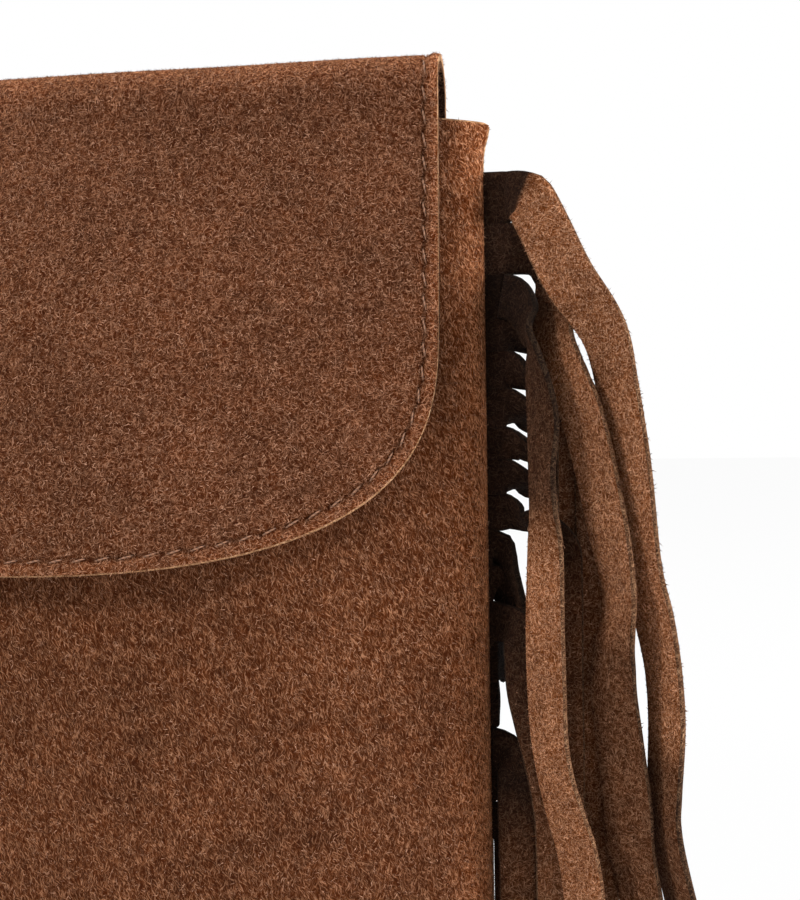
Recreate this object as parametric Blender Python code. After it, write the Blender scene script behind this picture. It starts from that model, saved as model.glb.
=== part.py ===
"""A fringed suede bag, built the way it is sewn.

A front and a back panel are joined along two side seams and round a lens-shaped base. A loose
lining bag hangs inside. The flap is two layers, suede and facing: its tab is sewn to the back
panel, it folds over the mouth, and it opens about the crown of that fold. A magnetic snap holds
it shut. A comb of suede is caught in each side seam, and its strips hang down as the fringe.

Metres, +Z up, and the front faces -Y. The origin is the centre of the base, on the surface that
the bag stands on.
"""

import math

import bmesh
import bpy
from mathutils import Matrix, Vector

# Thickness of each material, and the clearance between pieces that touch
SUEDE = 0.0014
FACING = 0.0010
LINING = 0.0008
GAP = 0.0003

# Pouch: its outer half width, its height, and its half depth at mouth, belly and base
HALF_WIDTH = 0.1110
RIM_HEIGHT = 0.1965
RIM_CORNER_DROP = 0.0025
RIM_CORNER_POWER = 8
MOUTH_HALF_DEPTH = 0.0075
BELLY_HALF_DEPTH = 0.0245
BELLY_HEIGHT = 0.055
BASE_HALF_DEPTH = 0.0235
BASE_ROUND = 0.005
SECTION_POWER = 3.0

# Lining: it keeps this much off the suede below the rim, and clears the fringe's tongue
LINING_EASE = 0.0020
LINING_BELOW_RIM = 0.0010
LINING_EASE_RUN = 0.030
TONGUE_CLEARANCE = 0.0020

# Flap: the fold rises over the rim, and the lower edge is half a superellipse
FLAP_HALF_WIDTH = 0.102
FOLD_RISE = 0.0135
FLAP_DROP = 0.1113
FLAP_CORNER_HEIGHT = 0.053
FLAP_CORNER_POWER = 3.0
FLAP_EASE = 0.0009
TAB_BELOW_RIM = 0.028

# Magnetic snap, on the centre line
SNAP_ABOVE_EDGE = 0.028
SNAP_RADIUS = 0.009
SNAP_BEVEL = 0.0004
SNAP_SEAT = 0.0004
SOCKET_THICKNESS = 0.0026
SOCKET_FLOOR = 0.0004
PLATE_THICKNESS = 0.0012
STUD_RADIUS = 0.0026
STUD_LENGTH = 0.0018
STUD_CLEARANCE = 0.0005
RIVET_RADIUS = 0.0020
RIVET_CLEARANCE = 0.0004
WASHER_RADIUS = 0.0065
WASHER_THICKNESS = 0.0006
SNAP_PLATEAU = 0.030
SNAP_SPREAD = 0.055

# Fringe: a comb whose tongue is caught in the seam
FRINGE_BELOW_RIM = 0.0125
TONGUE = 0.005
SLIT = 0.0005
END_HEIGHT = 0.008
END_UNEVEN = 0.0015

# Facets
WALL_COLUMNS = 20
WALL_ROWS = 9
ROUND_ROWS = 3
LINING_ROWS = 6
FLAP_COLUMNS = 16
FLAP_ROWS = 8
FOLD_ROWS = 4
TAB_COLUMNS = 10
TAB_ROWS = 2
SNAP_SIDES = 16

# The strips of one comb, from the top down: width, how far from the seam it is cut free, and
# how far in front of its neighbours (-) or behind them (+) it comes away
STRIPS = (
    (0.0109, 0.0040, -0.0009),
    (0.0113, 0.0040, 0.0009),
    (0.0096, 0.0040, -0.0009),
    (0.0071, 0.0040, 0.0012),
    (0.0082, 0.0042, -0.0014),
    (0.0087, 0.0038, 0.0009),
    (0.0069, 0.0041, -0.0018),
    (0.0077, 0.0035, 0.0014),
    (0.0078, 0.0033, -0.0009),
    (0.0080, 0.0028, 0.0009),
    (0.0082, 0.0022, 0.0026),
    (0.0085, 0.0012, -0.0009),
    (0.0093, 0.0005, 0.0000),
    (0.0100, 0.0005, 0.0000),
    (0.0082, 0.0004, -0.0009),
    (0.0083, 0.0004, 0.0014),
    (0.0082, 0.0004, -0.0002),
)

# A strip comes away from its neighbours over a short run, and then droops in an arc that leaves
# this radius inside its lower edge. A hanging strip runs farther out first where it has room.
SPLAY_RUN = 0.0020
HANGING_RUN = 0.0045
ELBOW_ROOM = 0.0009
ELBOW_STEPS = 3
KNEE_LEAN = 45.0

# The strips that lie on top, by their number: how far the arc leans over, in degrees, and the
# points that follow it. Each point is the distance out from the seam, the distance behind it,
# the share of the drop from the root to the lower end, and the strip's turn in degrees.
SEEN = {
    0: (
        44.0,
        (
            (0.0137, -0.0078, 0.050, 4.0),
            (0.0184, -0.0108, 0.113, 8.0),
            (0.0253, -0.0118, 0.178, 28.0),
            (0.0280, -0.0112, 0.240, 40.0),
            (0.0303, -0.0102, 0.330, 43.0),
            (0.0326, -0.0090, 0.465, 43.0),
            (0.0353, -0.0083, 0.534, 47.0),
            (0.0371, -0.0082, 0.600, 53.0),
            (0.0377, -0.0080, 0.666, 54.0),
            (0.0371, -0.0079, 0.746, 58.0),
            (0.0371, -0.0078, 0.790, 60.0),
            (0.0390, -0.0077, 0.855, 58.0),
            (0.0448, -0.0076, 1.000, 54.0),
        ),
    ),
    1: (
        62.0,
        (
            (0.0134, -0.0010, 0.060, 4.0),
            (0.0138, -0.0051, 0.118, 22.0),
            (0.0172, -0.0080, 0.175, 34.0),
            (0.0204, -0.0087, 0.225, 39.0),
            (0.0236, -0.0090, 0.307, 41.0),
            (0.0264, -0.0098, 0.400, 46.0),
            (0.0281, -0.0098, 0.470, 55.0),
            (0.0276, -0.0098, 0.515, 66.0),
            (0.0271, -0.0098, 0.540, 90.0),
            (0.0268, -0.0096, 0.565, 120.0),
            (0.0266, -0.0092, 0.605, 142.0),
            (0.0281, -0.0088, 0.671, 143.0),
            (0.0296, -0.0083, 0.757, 150.0),
            (0.0299, -0.0082, 0.810, 150.0),
            (0.0316, -0.0081, 0.865, 140.0),
            (0.0352, -0.0080, 1.000, 136.0),
        ),
    ),
    2: (
        78.0,
        (
            (0.0112, -0.0108, 0.090, 50.0),
            (0.0122, -0.0108, 0.135, 54.0),
            (0.0127, -0.0110, 0.185, 50.0),
            (0.0123, -0.0112, 0.250, 58.0),
            (0.0126, -0.0118, 0.310, 55.0),
            (0.0129, -0.0124, 0.360, 43.0),
            (0.0127, -0.0128, 0.470, 35.0),
            (0.0129, -0.0128, 0.560, 34.0),
            (0.0134, -0.0128, 0.630, 38.0),
            (0.0147, -0.0128, 0.685, 38.0),
            (0.0167, -0.0128, 0.735, 32.0),
            (0.0190, -0.0128, 0.790, 28.0),
            (0.0203, -0.0128, 0.860, 26.0),
            (0.0212, -0.0128, 1.000, 26.0),
        ),
    ),
    11: (
        58.0,
        (
            (0.0082, -0.0072, 0.170, 0.0),
            (0.0096, -0.0079, 0.262, 0.0),
            (0.0117, -0.0081, 0.377, 0.0),
            (0.0134, -0.0081, 0.490, 0.0),
            (0.0142, -0.0081, 0.620, 0.0),
            (0.0145, -0.0081, 1.000, 0.0),
        ),
    ),
}

# The strips that hang among them: out from the seam, behind it, and the turn in degrees
HANGING = {
    3: (0.0189, -0.0004, 2.0),
    4: (0.0233, -0.0031, 0.0),
    5: (0.0180, 0.0125, 4.0),
    6: (0.0158, 0.0034, 0.0),
    7: (0.0135, 0.0098, 6.0),
    8: (0.0166, -0.0057, 0.0),
    9: (0.0154, -0.0036, 0.0),
    10: (0.0160, 0.0015, 0.0),
    14: (0.0075, -0.0044, 0.0),
    15: (0.0075, 0.0046, 0.0),
    16: (0.0075, 0.0006, 0.0),
}

# Two strips are folded back round the seam and lie behind the bag, one this much farther off
# it than the other. The third value of each point is the drop below the root.
TUCKED = {12: 0.0021, 13: 0.0}
TUCKED_SPREAD = (0.0020, 0.0060)
TUCKED_ROUTE = (
    (0.0005, 0.0000, 0.0000, 0.0),
    (0.0010, 0.0003, 0.0000, -30.0),
    (0.0012, 0.0012, 0.0000, -75.0),
    (0.0011, 0.0026, 0.0000, -93.0),
    (0.0009, 0.0046, 0.0001, -97.0),
    (0.0004, 0.0072, 0.0005, -104.0),
    (-0.0010, 0.0100, 0.0026, -118.0),
    (-0.0032, 0.0128, 0.0080, -133.0),
    (-0.0053, 0.0147, 0.0170, -144.0),
    (-0.0060, 0.0151, 0.0280, -145.0),
)

SUEDE_BROWN = (0.150, 0.059, 0.029)
FACING_BROWN = (0.110, 0.043, 0.023)
LINING_BEIGE = (0.420, 0.330, 0.230)
OLD_BRASS = (0.420, 0.330, 0.180)


def crown_height():
    """Height of the top of the flap's fold."""
    return RIM_HEIGHT + FOLD_RISE


def snap_height():
    return crown_height() - FLAP_DROP + SNAP_ABOVE_EDGE


def smooth(share):
    share = min(1.0, max(0.0, share))
    return share * share * (3 - 2 * share)


def material(name, colour, roughness, metallic=0.0):
    made = bpy.data.materials.new(name)
    made.use_nodes = True
    shader = made.node_tree.nodes["Principled BSDF"]
    shader.inputs["Base Color"].default_value = (*colour, 1.0)
    shader.inputs["Roughness"].default_value = roughness
    shader.inputs["Metallic"].default_value = metallic
    return made


def solid(name, points, faces, finish):
    """One closed mesh as an object, with its faces turned outwards."""
    mesh = bpy.data.meshes.new(name)
    body = bmesh.new()
    corners = [body.verts.new(point) for point in points]
    for face in faces:
        body.faces.new([corners[i] for i in face])
    bmesh.ops.recalc_face_normals(body, faces=body.faces[:])
    body.to_mesh(mesh)
    body.free()
    mesh.materials.append(finish)
    mesh.shade_smooth()
    mesh.set_sharp_from_angle(angle=math.radians(40))
    made = bpy.data.objects.new(name, mesh)
    bpy.context.scene.collection.objects.link(made)
    return made


def sheet(name, outer, inner, finish):
    """A sheet between two grids of points of the same size, closed along its four edges."""
    rows = len(outer)
    columns = len(outer[0])
    points = [point for grid in (outer, inner) for row in grid for point in row]

    def index(side, row, column):
        return side * rows * columns + row * columns + column

    faces = []
    for side in (0, 1):
        for r in range(rows - 1):
            for c in range(columns - 1):
                faces.append(
                    (
                        index(side, r, c),
                        index(side, r, c + 1),
                        index(side, r + 1, c + 1),
                        index(side, r + 1, c),
                    )
                )
    for r in range(rows - 1):
        for c in (0, columns - 1):
            faces.append((index(0, r, c), index(0, r + 1, c), index(1, r + 1, c), index(1, r, c)))
    for c in range(columns - 1):
        for r in (0, rows - 1):
            faces.append((index(0, r, c), index(0, r, c + 1), index(1, r, c + 1), index(1, r, c)))
    return solid(name, points, faces, finish)


def turned(name, profile, placing, finish, hollow=False):
    """A body of revolution about its own +Z. A hollow profile is a closed loop off the axis."""
    points = []
    rings = []
    for radius, height in profile:
        if radius == 0:
            rings.append([len(points)])
            points.append(placing @ Vector((0, 0, height)))
            continue
        rings.append(range(len(points), len(points) + SNAP_SIDES))
        for k in range(SNAP_SIDES):
            turn = 2 * math.pi * k / SNAP_SIDES
            points.append(placing @ Vector((radius * math.cos(turn), radius * math.sin(turn), height)))
    pairs = list(zip(rings, rings[1:]))
    if hollow:
        pairs.append((rings[-1], rings[0]))
    faces = []
    for low, high in pairs:
        for k in range(SNAP_SIDES):
            after = (k + 1) % SNAP_SIDES
            if len(low) == 1:
                faces.append((low[0], high[k], high[after]))
            elif len(high) == 1:
                faces.append((low[k], low[after], high[0]))
            else:
                faces.append((low[k], low[after], high[after], high[k]))
    return solid(name, points, faces, finish)


def drill(target, placing, radius):
    """Cuts a round hole along the snap's axis through a thin sheet."""
    reach = SNAP_RADIUS / 2
    profile = ((0, -reach), (radius, -reach), (radius, reach), (0, reach))
    cutter = turned(target.name + "_hole", profile, placing, target.data.materials[0])
    cutter.hide_render = True
    cutter.display_type = "WIRE"
    cut = target.modifiers.new("snap_hole", "BOOLEAN")
    cut.operation = "DIFFERENCE"
    cut.object = cutter


# Pouch


def half_depth(z):
    """Half the pouch's outer depth on its centre line, at height z."""
    if z > BELLY_HEIGHT:
        share = max(0.0, RIM_HEIGHT - z) / (RIM_HEIGHT - BELLY_HEIGHT)
        start = MOUTH_HALF_DEPTH
    else:
        share = z / BELLY_HEIGHT
        start = BASE_HALF_DEPTH
    eased = (1 - (1 - share) ** 2 + smooth(share)) / 2
    return start + (BELLY_HALF_DEPTH - start) * eased


def base_tuck(z):
    """How far the wall is drawn in at height z by its rounded lower edge."""
    left = max(0.0, BASE_ROUND - z)
    return BASE_ROUND - math.sqrt(BASE_ROUND**2 - left**2)


def bulge(x):
    """Share of the full depth that the pouch has at x from its centre line."""
    across = min(1.0, abs(x) / HALF_WIDTH)
    return (1 - across**SECTION_POWER) ** (1 / SECTION_POWER)


def section_point(angle, half_width, depth):
    """A point on the pouch's plan section: x, and the depth to one side."""
    cosine = math.cos(angle)
    power = 2 / SECTION_POWER
    x = math.copysign(abs(cosine) ** power, cosine) * half_width
    return x, max(0.0, math.sin(angle)) ** power * depth


def rim_height_at(x):
    across = min(1.0, abs(x) / HALF_WIDTH)
    return RIM_HEIGHT - RIM_CORNER_DROP * across**RIM_CORNER_POWER


def wall_height(row, top):
    """Height of one row of the wall: the first rows follow the rounded lower edge."""
    if row < ROUND_ROWS:
        turn = math.pi / 2 * row / ROUND_ROWS
        return GAP + (BASE_ROUND - GAP) * (1 - math.cos(turn))
    return BASE_ROUND + (top - BASE_ROUND) * (row - ROUND_ROWS) / WALL_ROWS


def wall_row(row, side, inset):
    """One row of a panel, from the right seam to the left. Each end stops short of the tongue."""
    seam = SUEDE / 2 + GAP
    points = []
    for column in range(WALL_COLUMNS + 1):
        share = column / WALL_COLUMNS
        top_x = section_point(math.pi * share, HALF_WIDTH, 1.0)[0]
        z = wall_height(row, rim_height_at(top_x))
        drawn_in = base_tuck(z) + inset
        depth = half_depth(z) - drawn_in
        start = math.asin(min(1.0, (seam / depth) ** (SECTION_POWER / 2)))
        angle = start + (math.pi - 2 * start) * share
        x, y = section_point(angle, HALF_WIDTH - drawn_in, depth)
        points.append(Vector((x, side * y, z)))
    return points


def panel(name, side, finish):
    rows = range(ROUND_ROWS + WALL_ROWS + 1)
    outer = [wall_row(row, side, 0.0) for row in rows]
    inner = [wall_row(row, side, SUEDE) for row in rows]
    return sheet(name, outer, inner, finish)


def lens(half_width, depth, z):
    """A closed ring of points round the plan section."""
    ring = []
    for side in (-1, 1):
        for column in range(WALL_COLUMNS):
            angle = math.pi * column / WALL_COLUMNS
            x, y = section_point(angle, half_width, depth)
            ring.append(Vector((-side * x, side * y, z)))
    return ring


def stacked(name, rings, finish):
    """Rings of points joined in order, with a flat cap on the first and the last."""
    count = len(rings[0])
    points = [point for ring in rings for point in ring]
    faces = [tuple(range(count)), tuple(range(len(points) - count, len(points)))]
    for r in range(len(rings) - 1):
        for k in range(count):
            after = (k + 1) % count
            faces.append(
                (r * count + k, r * count + after, (r + 1) * count + after, (r + 1) * count + k)
            )
    return solid(name, points, faces, finish)


def base_panel(finish):
    inset = base_tuck(GAP) + SUEDE + GAP
    size = (HALF_WIDTH - inset, half_depth(GAP) - inset)
    return stacked("base_panel", [lens(*size, 0.0), lens(*size, SUEDE)], finish)


def lining_bag(finish):
    """The lining: up the outside from the base to the rim, and down the inside."""
    top = RIM_HEIGHT - RIM_CORNER_DROP - LINING_BELOW_RIM
    low = SUEDE + GAP

    def ring(z, inset):
        ease = GAP + (LINING_EASE - GAP) * smooth((top - z) / LINING_EASE_RUN)
        drawn_in = base_tuck(z) + inset
        width = HALF_WIDTH - TONGUE - TONGUE_CLEARANCE - drawn_in
        return lens(width, half_depth(z) - SUEDE - ease - drawn_in, z)

    outside = [low + (top - low) * smooth(r / LINING_ROWS) for r in range(LINING_ROWS + 1)]
    inside = [max(z, low + LINING) for z in reversed(outside)]
    rings = [ring(z, 0.0) for z in outside] + [ring(z, LINING) for z in inside]
    return stacked("lining", rings, finish)


# Flap


def near_snap(x, z):
    """1 over the snap, falling to 0 away from it."""
    away = math.hypot(x, z - snap_height()) - SNAP_PLATEAU
    share = min(1.0, max(0.0, away) / SNAP_SPREAD)
    return (1 - share * share) ** 2


def snap_stack():
    """From the front panel to the facing: the closed snap and its seats."""
    return SNAP_SEAT + SOCKET_THICKNESS + GAP + PLATE_THICKNESS + SNAP_SEAT


def washer_pocket():
    """Extra room between the flap's layers over the snap's washer."""
    return WASHER_THICKNESS + GAP


def flap_thickness():
    return FACING + GAP + SUEDE


def fold_radius(x):
    """Radius of the facing's inner face where it folds over the mouth."""
    return MOUTH_HALF_DEPTH * bulge(x) + FLAP_EASE


def flap_layers(layer, x, z):
    """Inner and outer level of the facing (0) or the suede (1) above the flap's inner face."""
    if layer == 0:
        return 0.0, FACING
    inner = FACING + GAP + washer_pocket() * near_snap(x, z)
    return inner, inner + SUEDE


def leg_point(x, z, level, front):
    """A point of the flap below the fold, in front of the bag or behind it."""
    ease = FLAP_EASE
    if front:
        ease += (snap_stack() - FLAP_EASE) * near_snap(x, z)
    y = half_depth(z) * bulge(x) + ease + level
    return Vector((x, -y if front else y, z))


def fold_point(x, share, level, front):
    """A point of the fold, from the crown (0) to where the leg starts (1). It keeps half a
    clearance from the crown's plane, where the flap and its tab meet."""
    radius = fold_radius(x) + level
    start = math.asin(GAP / 2 / radius)
    angle = start + (math.pi / 2 - start) * share
    centre = crown_height() - fold_radius(x) - flap_thickness()
    y = radius * math.sin(angle)
    return Vector((x, -y if front else y, centre + radius * math.cos(angle)))


def flap_edge_height(x):
    """Height of the flap's lower edge at x."""
    across = min(1.0, abs(x) / FLAP_HALF_WIDTH)
    drop = FLAP_DROP - FLAP_CORNER_HEIGHT
    drop += FLAP_CORNER_HEIGHT * (1 - across**FLAP_CORNER_POWER) ** (1 / FLAP_CORNER_POWER)
    return crown_height() - drop


def flap_grid(layer, face, front):
    """Points of one face of one layer, from the crown down."""
    columns = FLAP_COLUMNS if front else TAB_COLUMNS
    rows = FLAP_ROWS if front else TAB_ROWS
    grid = []
    for row in range(FOLD_ROWS + rows + 1):
        points = []
        for column in range(columns + 1):
            cosine = math.cos(math.pi * column / columns)
            power = 2 / FLAP_CORNER_POWER if front else 1
            x = FLAP_HALF_WIDTH * math.copysign(abs(cosine) ** power, cosine)
            if row <= FOLD_ROWS:
                level = flap_layers(layer, x, crown_height())[face]
                points.append(fold_point(x, row / FOLD_ROWS, level, front))
                continue
            top = crown_height() - fold_radius(x) - flap_thickness()
            low = flap_edge_height(x) if front else RIM_HEIGHT - TAB_BELOW_RIM
            z = top + (low - top) * (row - FOLD_ROWS) / rows
            level = flap_layers(layer, x, z)[face] if front else flap_layers(layer, x, top)[face]
            points.append(leg_point(x, z, level, front))
        grid.append(points)
    return grid


def flap_piece(name, layer, front, finish):
    return sheet(name, flap_grid(layer, 1, front), flap_grid(layer, 0, front), finish)


# Snap


def snap_placing():
    """The snap's frame: on the front panel, with its own +Z pointing out of the bag."""
    z = snap_height()
    step = 0.001
    slope = (half_depth(z + step) - half_depth(z - step)) / (2 * step)
    out = Vector((0, -1, -slope)).normalized()
    turn = out.to_track_quat("Z", "Y").to_matrix().to_4x4()
    return Matrix.Translation(Vector((0, -half_depth(z), z))) @ turn


def disc(radius, low, high):
    """Outer profile of a bevelled disc, from its lower face to its upper one."""
    inner = radius - SNAP_BEVEL
    return (
        (inner, low),
        (radius, low + SNAP_BEVEL),
        (radius, high - SNAP_BEVEL),
        (inner, high),
    )


def socket(placing, finish):
    """The magnetic half on the front panel, with its rivet through the suede."""
    low = SNAP_SEAT
    top = low + SOCKET_THICKNESS
    tail = -(SUEDE + 2 * GAP + WASHER_THICKNESS)
    hole = STUD_RADIUS + STUD_CLEARANCE
    profile = ((0, tail), (RIVET_RADIUS, tail), (RIVET_RADIUS, low), *disc(SNAP_RADIUS, low, top))
    profile += ((hole, top), (hole, low + SOCKET_FLOOR), (0, low + SOCKET_FLOOR))
    return turned("snap_socket", profile, placing, finish)


def stud(placing, finish):
    """The half on the flap: a plate against the facing, its stud, and its rivet."""
    low = SNAP_SEAT + SOCKET_THICKNESS + GAP
    top = low + PLATE_THICKNESS
    tail = snap_stack() + FACING + GAP + WASHER_THICKNESS
    profile = ((0, low - STUD_LENGTH), (STUD_RADIUS, low - STUD_LENGTH), (STUD_RADIUS, low))
    profile += disc(SNAP_RADIUS, low, top)
    profile += ((RIVET_RADIUS, top), (RIVET_RADIUS, tail), (0, tail))
    return turned("snap_stud", profile, placing, finish)


def washer(name, placing, low, finish):
    high = low + WASHER_THICKNESS
    bore = RIVET_RADIUS + RIVET_CLEARANCE
    profile = ((bore, low), (WASHER_RADIUS, low), (WASHER_RADIUS, high), (bore, high))
    return turned(name, profile, placing, finish, hollow=True)


# Fringe


def strip_ends():
    """Upper and lower height of each strip at its root, from the top down."""
    ends = []
    top = RIM_HEIGHT - FRINGE_BELOW_RIM
    for width, _, _ in STRIPS:
        ends.append((top, top - width))
        top -= width
    return ends


def rooted(number, lean, run):
    """A strip's first points, from the root to the end of its arc: out, back and drop."""
    width, cut, splay = STRIPS[number]
    radius = width / 2 + ELBOW_ROOM
    points = [(cut, 0.0, 0.0), (cut + run / 2, splay * 0.4, 0.0)]
    for step in range(ELBOW_STEPS + 1):
        angle = math.radians(lean) * step / ELBOW_STEPS
        out = cut + run + radius * math.sin(angle)
        points.append((out, splay, radius * (1 - math.cos(angle))))
    return points


def seen_route(number, root, end):
    """The root and its arc, already on the way forward or back, and then the listed points."""
    lean, listed = SEEN[number]
    start = rooted(number, lean, SPLAY_RUN)
    points = []
    for k, (out, back, drop) in enumerate(start):
        share = smooth((k - 1) / (len(start) - 1)) * 0.8
        back += (listed[0][1] - back) * share
        points.append((out, back, root - drop, listed[0][3] * share))
    for out, back, share, turn in listed:
        points.append((out, back, root + (end - root) * share, turn))
    return points


def hanging_route(number, root, end):
    """The root and its arc, a straight slope, a second arc, and then straight down."""
    out, back, turn = HANGING[number]
    width, cut, _ = STRIPS[number]
    radius = width / 2 + ELBOW_ROOM
    start = rooted(number, KNEE_LEAN, min(HANGING_RUN, out - cut - radius))
    points = []
    for k, (away, splay, drop) in enumerate(start):
        share = smooth((k - 1) / (len(start) - 1)) * 0.65
        points.append((away, splay + (back - splay) * share, root - drop, 0.0))
    lean = math.radians(KNEE_LEAN)
    slope = max(0.0, out - points[-1][0] - radius * (1 - math.sin(lean)))
    knee = points[-1][0] + slope
    low = points[-1][2] - slope / math.tan(math.pi / 2 - lean)
    if slope > radius / 4:
        points.append((knee, back * 0.9, low, 0.0))
    for angle in (math.radians(KNEE_LEAN + 90) / 2, math.pi / 2):
        away = knee + radius * (math.sin(angle) - math.sin(lean))
        drop = radius * (math.cos(lean) - math.cos(angle))
        points.append((away, back, low - drop, turn / 2))
    points.append((out, back, low - 2 * radius, turn))
    points.append((out, back, (low + end) / 2, turn))
    points.append((out, back, end, turn))
    return points


def tucked_route(number, root, end):
    """Round the seam and down behind the bag."""
    points = []
    for out, back, drop, turn in TUCKED_ROUTE:
        begin, run = TUCKED_SPREAD
        off = TUCKED[number] * smooth((back - begin) / run)
        normal = math.radians(turn)
        points.append((out - off * math.sin(normal), back - off * math.cos(normal), root - drop, turn))
    points.append((*points[-1][:2], end, points[-1][3]))
    return points


def strip_route(number, root):
    """Points along the middle of a strip: out from the seam, behind it, height and turn."""
    end = END_HEIGHT + END_UNEVEN * math.sin(2.4 * number)
    if number in SEEN:
        return seen_route(number, root, end)
    if number in HANGING:
        return hanging_route(number, root, end)
    return tucked_route(number, root, end)


def across_strip(number, along, turn):
    """The direction across a strip. It turns about its own length, or, where it is folded back
    round the seam, about the vertical."""
    if number in TUCKED:
        return along.cross(Vector((math.sin(turn), math.cos(turn), 0))).normalized()
    level = along.cross(Vector((0, 1, 0))).normalized()
    return level * math.cos(turn) + along.cross(level) * math.sin(turn)


def strip_sections(number, root):
    """The four corners of each cross-section of a strip, in the right-hand seam's frame."""
    line = [Vector(point) for point in strip_route(number, root)]
    sections = []
    for k, place in enumerate(line):
        point = place.to_3d()
        along = Vector((1, 0, 0))
        if k:
            before = (place - line[k - 1]).to_3d().normalized()
            after = (line[min(k + 1, len(line) - 1)] - place).to_3d()
            along = (before + after.normalized()).normalized()
        across = across_strip(number, along, math.radians(place[3]))
        half = across * (STRIPS[number][0] - SLIT) / 2
        skin = along.cross(across) * SUEDE / 2
        sections.append(
            (point + half + skin, point - half + skin, point - half - skin, point + half - skin)
        )
    return sections


def fringe(name, mirror, finish):
    """A comb of suede: a tongue in the seam, and strips cut free of each other."""
    points = []
    faces = []

    def corner(point):
        points.append(Vector((mirror * (HALF_WIDTH + point[0]), point[1], point[2])))
        return len(points) - 1

    inner = []
    outer = []
    for number, (top, low) in enumerate(strip_ends()):
        sections = strip_sections(number, (top + low) / 2)
        for z in (top - SLIT / 2, low + SLIT / 2):
            inner.append([corner((-TONGUE, y, z)) for y in (-SUEDE / 2, SUEDE / 2)])
        rings = [[corner(point) for point in section] for section in sections]
        first = rings[0]
        outer.extend(([first[0], first[3]], [first[1], first[2]]))
        for here, after in zip(rings, rings[1:]):
            for k in range(4):
                faces.append((here[k], here[(k + 1) % 4], after[(k + 1) % 4], after[k]))
        faces.append(tuple(rings[-1]))
    for k in range(len(inner) - 1):
        for face in (0, 1):
            faces.append((inner[k][face], inner[k + 1][face], outer[k + 1][face], outer[k][face]))
        faces.append((inner[k][0], inner[k + 1][0], inner[k + 1][1], inner[k][1]))
        if k % 2:
            faces.append((outer[k][0], outer[k + 1][0], outer[k + 1][1], outer[k][1]))
    for k in (0, -1):
        faces.append((inner[k][0], inner[k][1], outer[k][1], outer[k][0]))
    return solid(name, points, faces, finish)


def main():
    for old in list(bpy.data.objects):
        bpy.data.objects.remove(old)
    suede = material("suede", SUEDE_BROWN, 0.95)
    facing = material("facing", FACING_BROWN, 0.85)
    cotton = material("lining", LINING_BEIGE, 0.90)
    brass = material("snap_metal", OLD_BRASS, 0.35, 1.0)
    placing = snap_placing()
    rivet_hole = RIVET_RADIUS + RIVET_CLEARANCE

    front = panel("front_panel", -1, suede)
    drill(front, placing, rivet_hole)
    panel("back_panel", 1, suede)
    base_panel(suede)
    lining_bag(cotton)

    flap_piece("flap_suede", 1, True, suede)
    flap_facing = flap_piece("flap_facing", 0, True, facing)
    drill(flap_facing, placing @ Matrix.Translation((0, 0, snap_stack())), rivet_hole)
    flap_piece("flap_tab_suede", 1, False, suede)
    flap_piece("flap_tab_facing", 0, False, facing)

    socket(placing, brass)
    stud(placing, brass)
    washer("snap_socket_washer", placing, -(SUEDE + GAP + WASHER_THICKNESS), brass)
    washer("snap_stud_washer", placing, snap_stack() + FACING + GAP, brass)

    fringe("fringe_right", 1, suede)
    fringe("fringe_left", -1, suede)


main()
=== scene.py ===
"""The look of the fringed suede bag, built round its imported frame.

Suede panels, flap, stitching, fringe and lining replace the plain solids. The snap and its
washers keep their solids and get a worn brass finish.
"""

import math
import random

import bmesh
import bpy
import numpy as np
from mathutils import Matrix, Vector


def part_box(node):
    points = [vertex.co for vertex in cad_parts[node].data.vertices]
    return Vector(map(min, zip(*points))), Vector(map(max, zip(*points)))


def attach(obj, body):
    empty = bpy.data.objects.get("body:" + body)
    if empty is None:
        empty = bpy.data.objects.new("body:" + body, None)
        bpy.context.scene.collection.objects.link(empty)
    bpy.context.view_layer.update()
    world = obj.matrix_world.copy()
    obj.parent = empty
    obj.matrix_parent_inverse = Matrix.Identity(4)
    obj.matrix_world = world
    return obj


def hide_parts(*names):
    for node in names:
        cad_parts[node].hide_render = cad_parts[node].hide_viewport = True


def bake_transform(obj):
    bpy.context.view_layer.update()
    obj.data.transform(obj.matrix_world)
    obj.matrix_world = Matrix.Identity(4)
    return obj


# Camera, solved from the flap's outline, the fold line and the seam in the photograph
CAMERA_PLACE = (0.1342, -0.2732, 0.1319)
CAMERA_TURN = 8.89
CAMERA_TILT = -1.77
CAMERA_ROLL = -0.91
LENS = 49.57

# Thickness of each material, the clearance between layers, how round a cut edge is as a share
# of its thickness, and a short step to find a direction
SUEDE = 0.0014
FACING = 0.0010
LINING = 0.0008
GAP = 0.0003
EDGE_ROUNDNESS = 0.28
PROBE = 0.0005

# Pouch: the shape of its section, and half its depth at mouth, belly and base
MOUTH_HALF_DEPTH = 0.0075
BELLY_HALF_DEPTH = 0.0245
BELLY_HEIGHT = 0.055
BASE_HALF_DEPTH = 0.0235
BASE_ROUND = 0.005
RIM_CORNER_DROP = 0.0025
RIM_CORNER_POWER = 8
SECTION_POWER = 3.0
TONGUE = 0.005
PANEL_GRID = (110, 190)
ROW_CROWDING = 1.15
COLUMN_CROWDING = 0.10

# The panels' top corners stand out a little, and their faces are gently uneven
EAR = 0.0015
EAR_HEIGHT = 0.0040
EAR_POWER = 30
PANEL_SWELL = 0.00045
PANEL_WAVE = (0.021, 0.026)
PANEL_WAVE_SEED = {-1: 5, 1: 8}
FLAT_FOOT = 0.012
SWELL_RISE = 0.030
SWELL_DEPTH = 0.004

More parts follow.
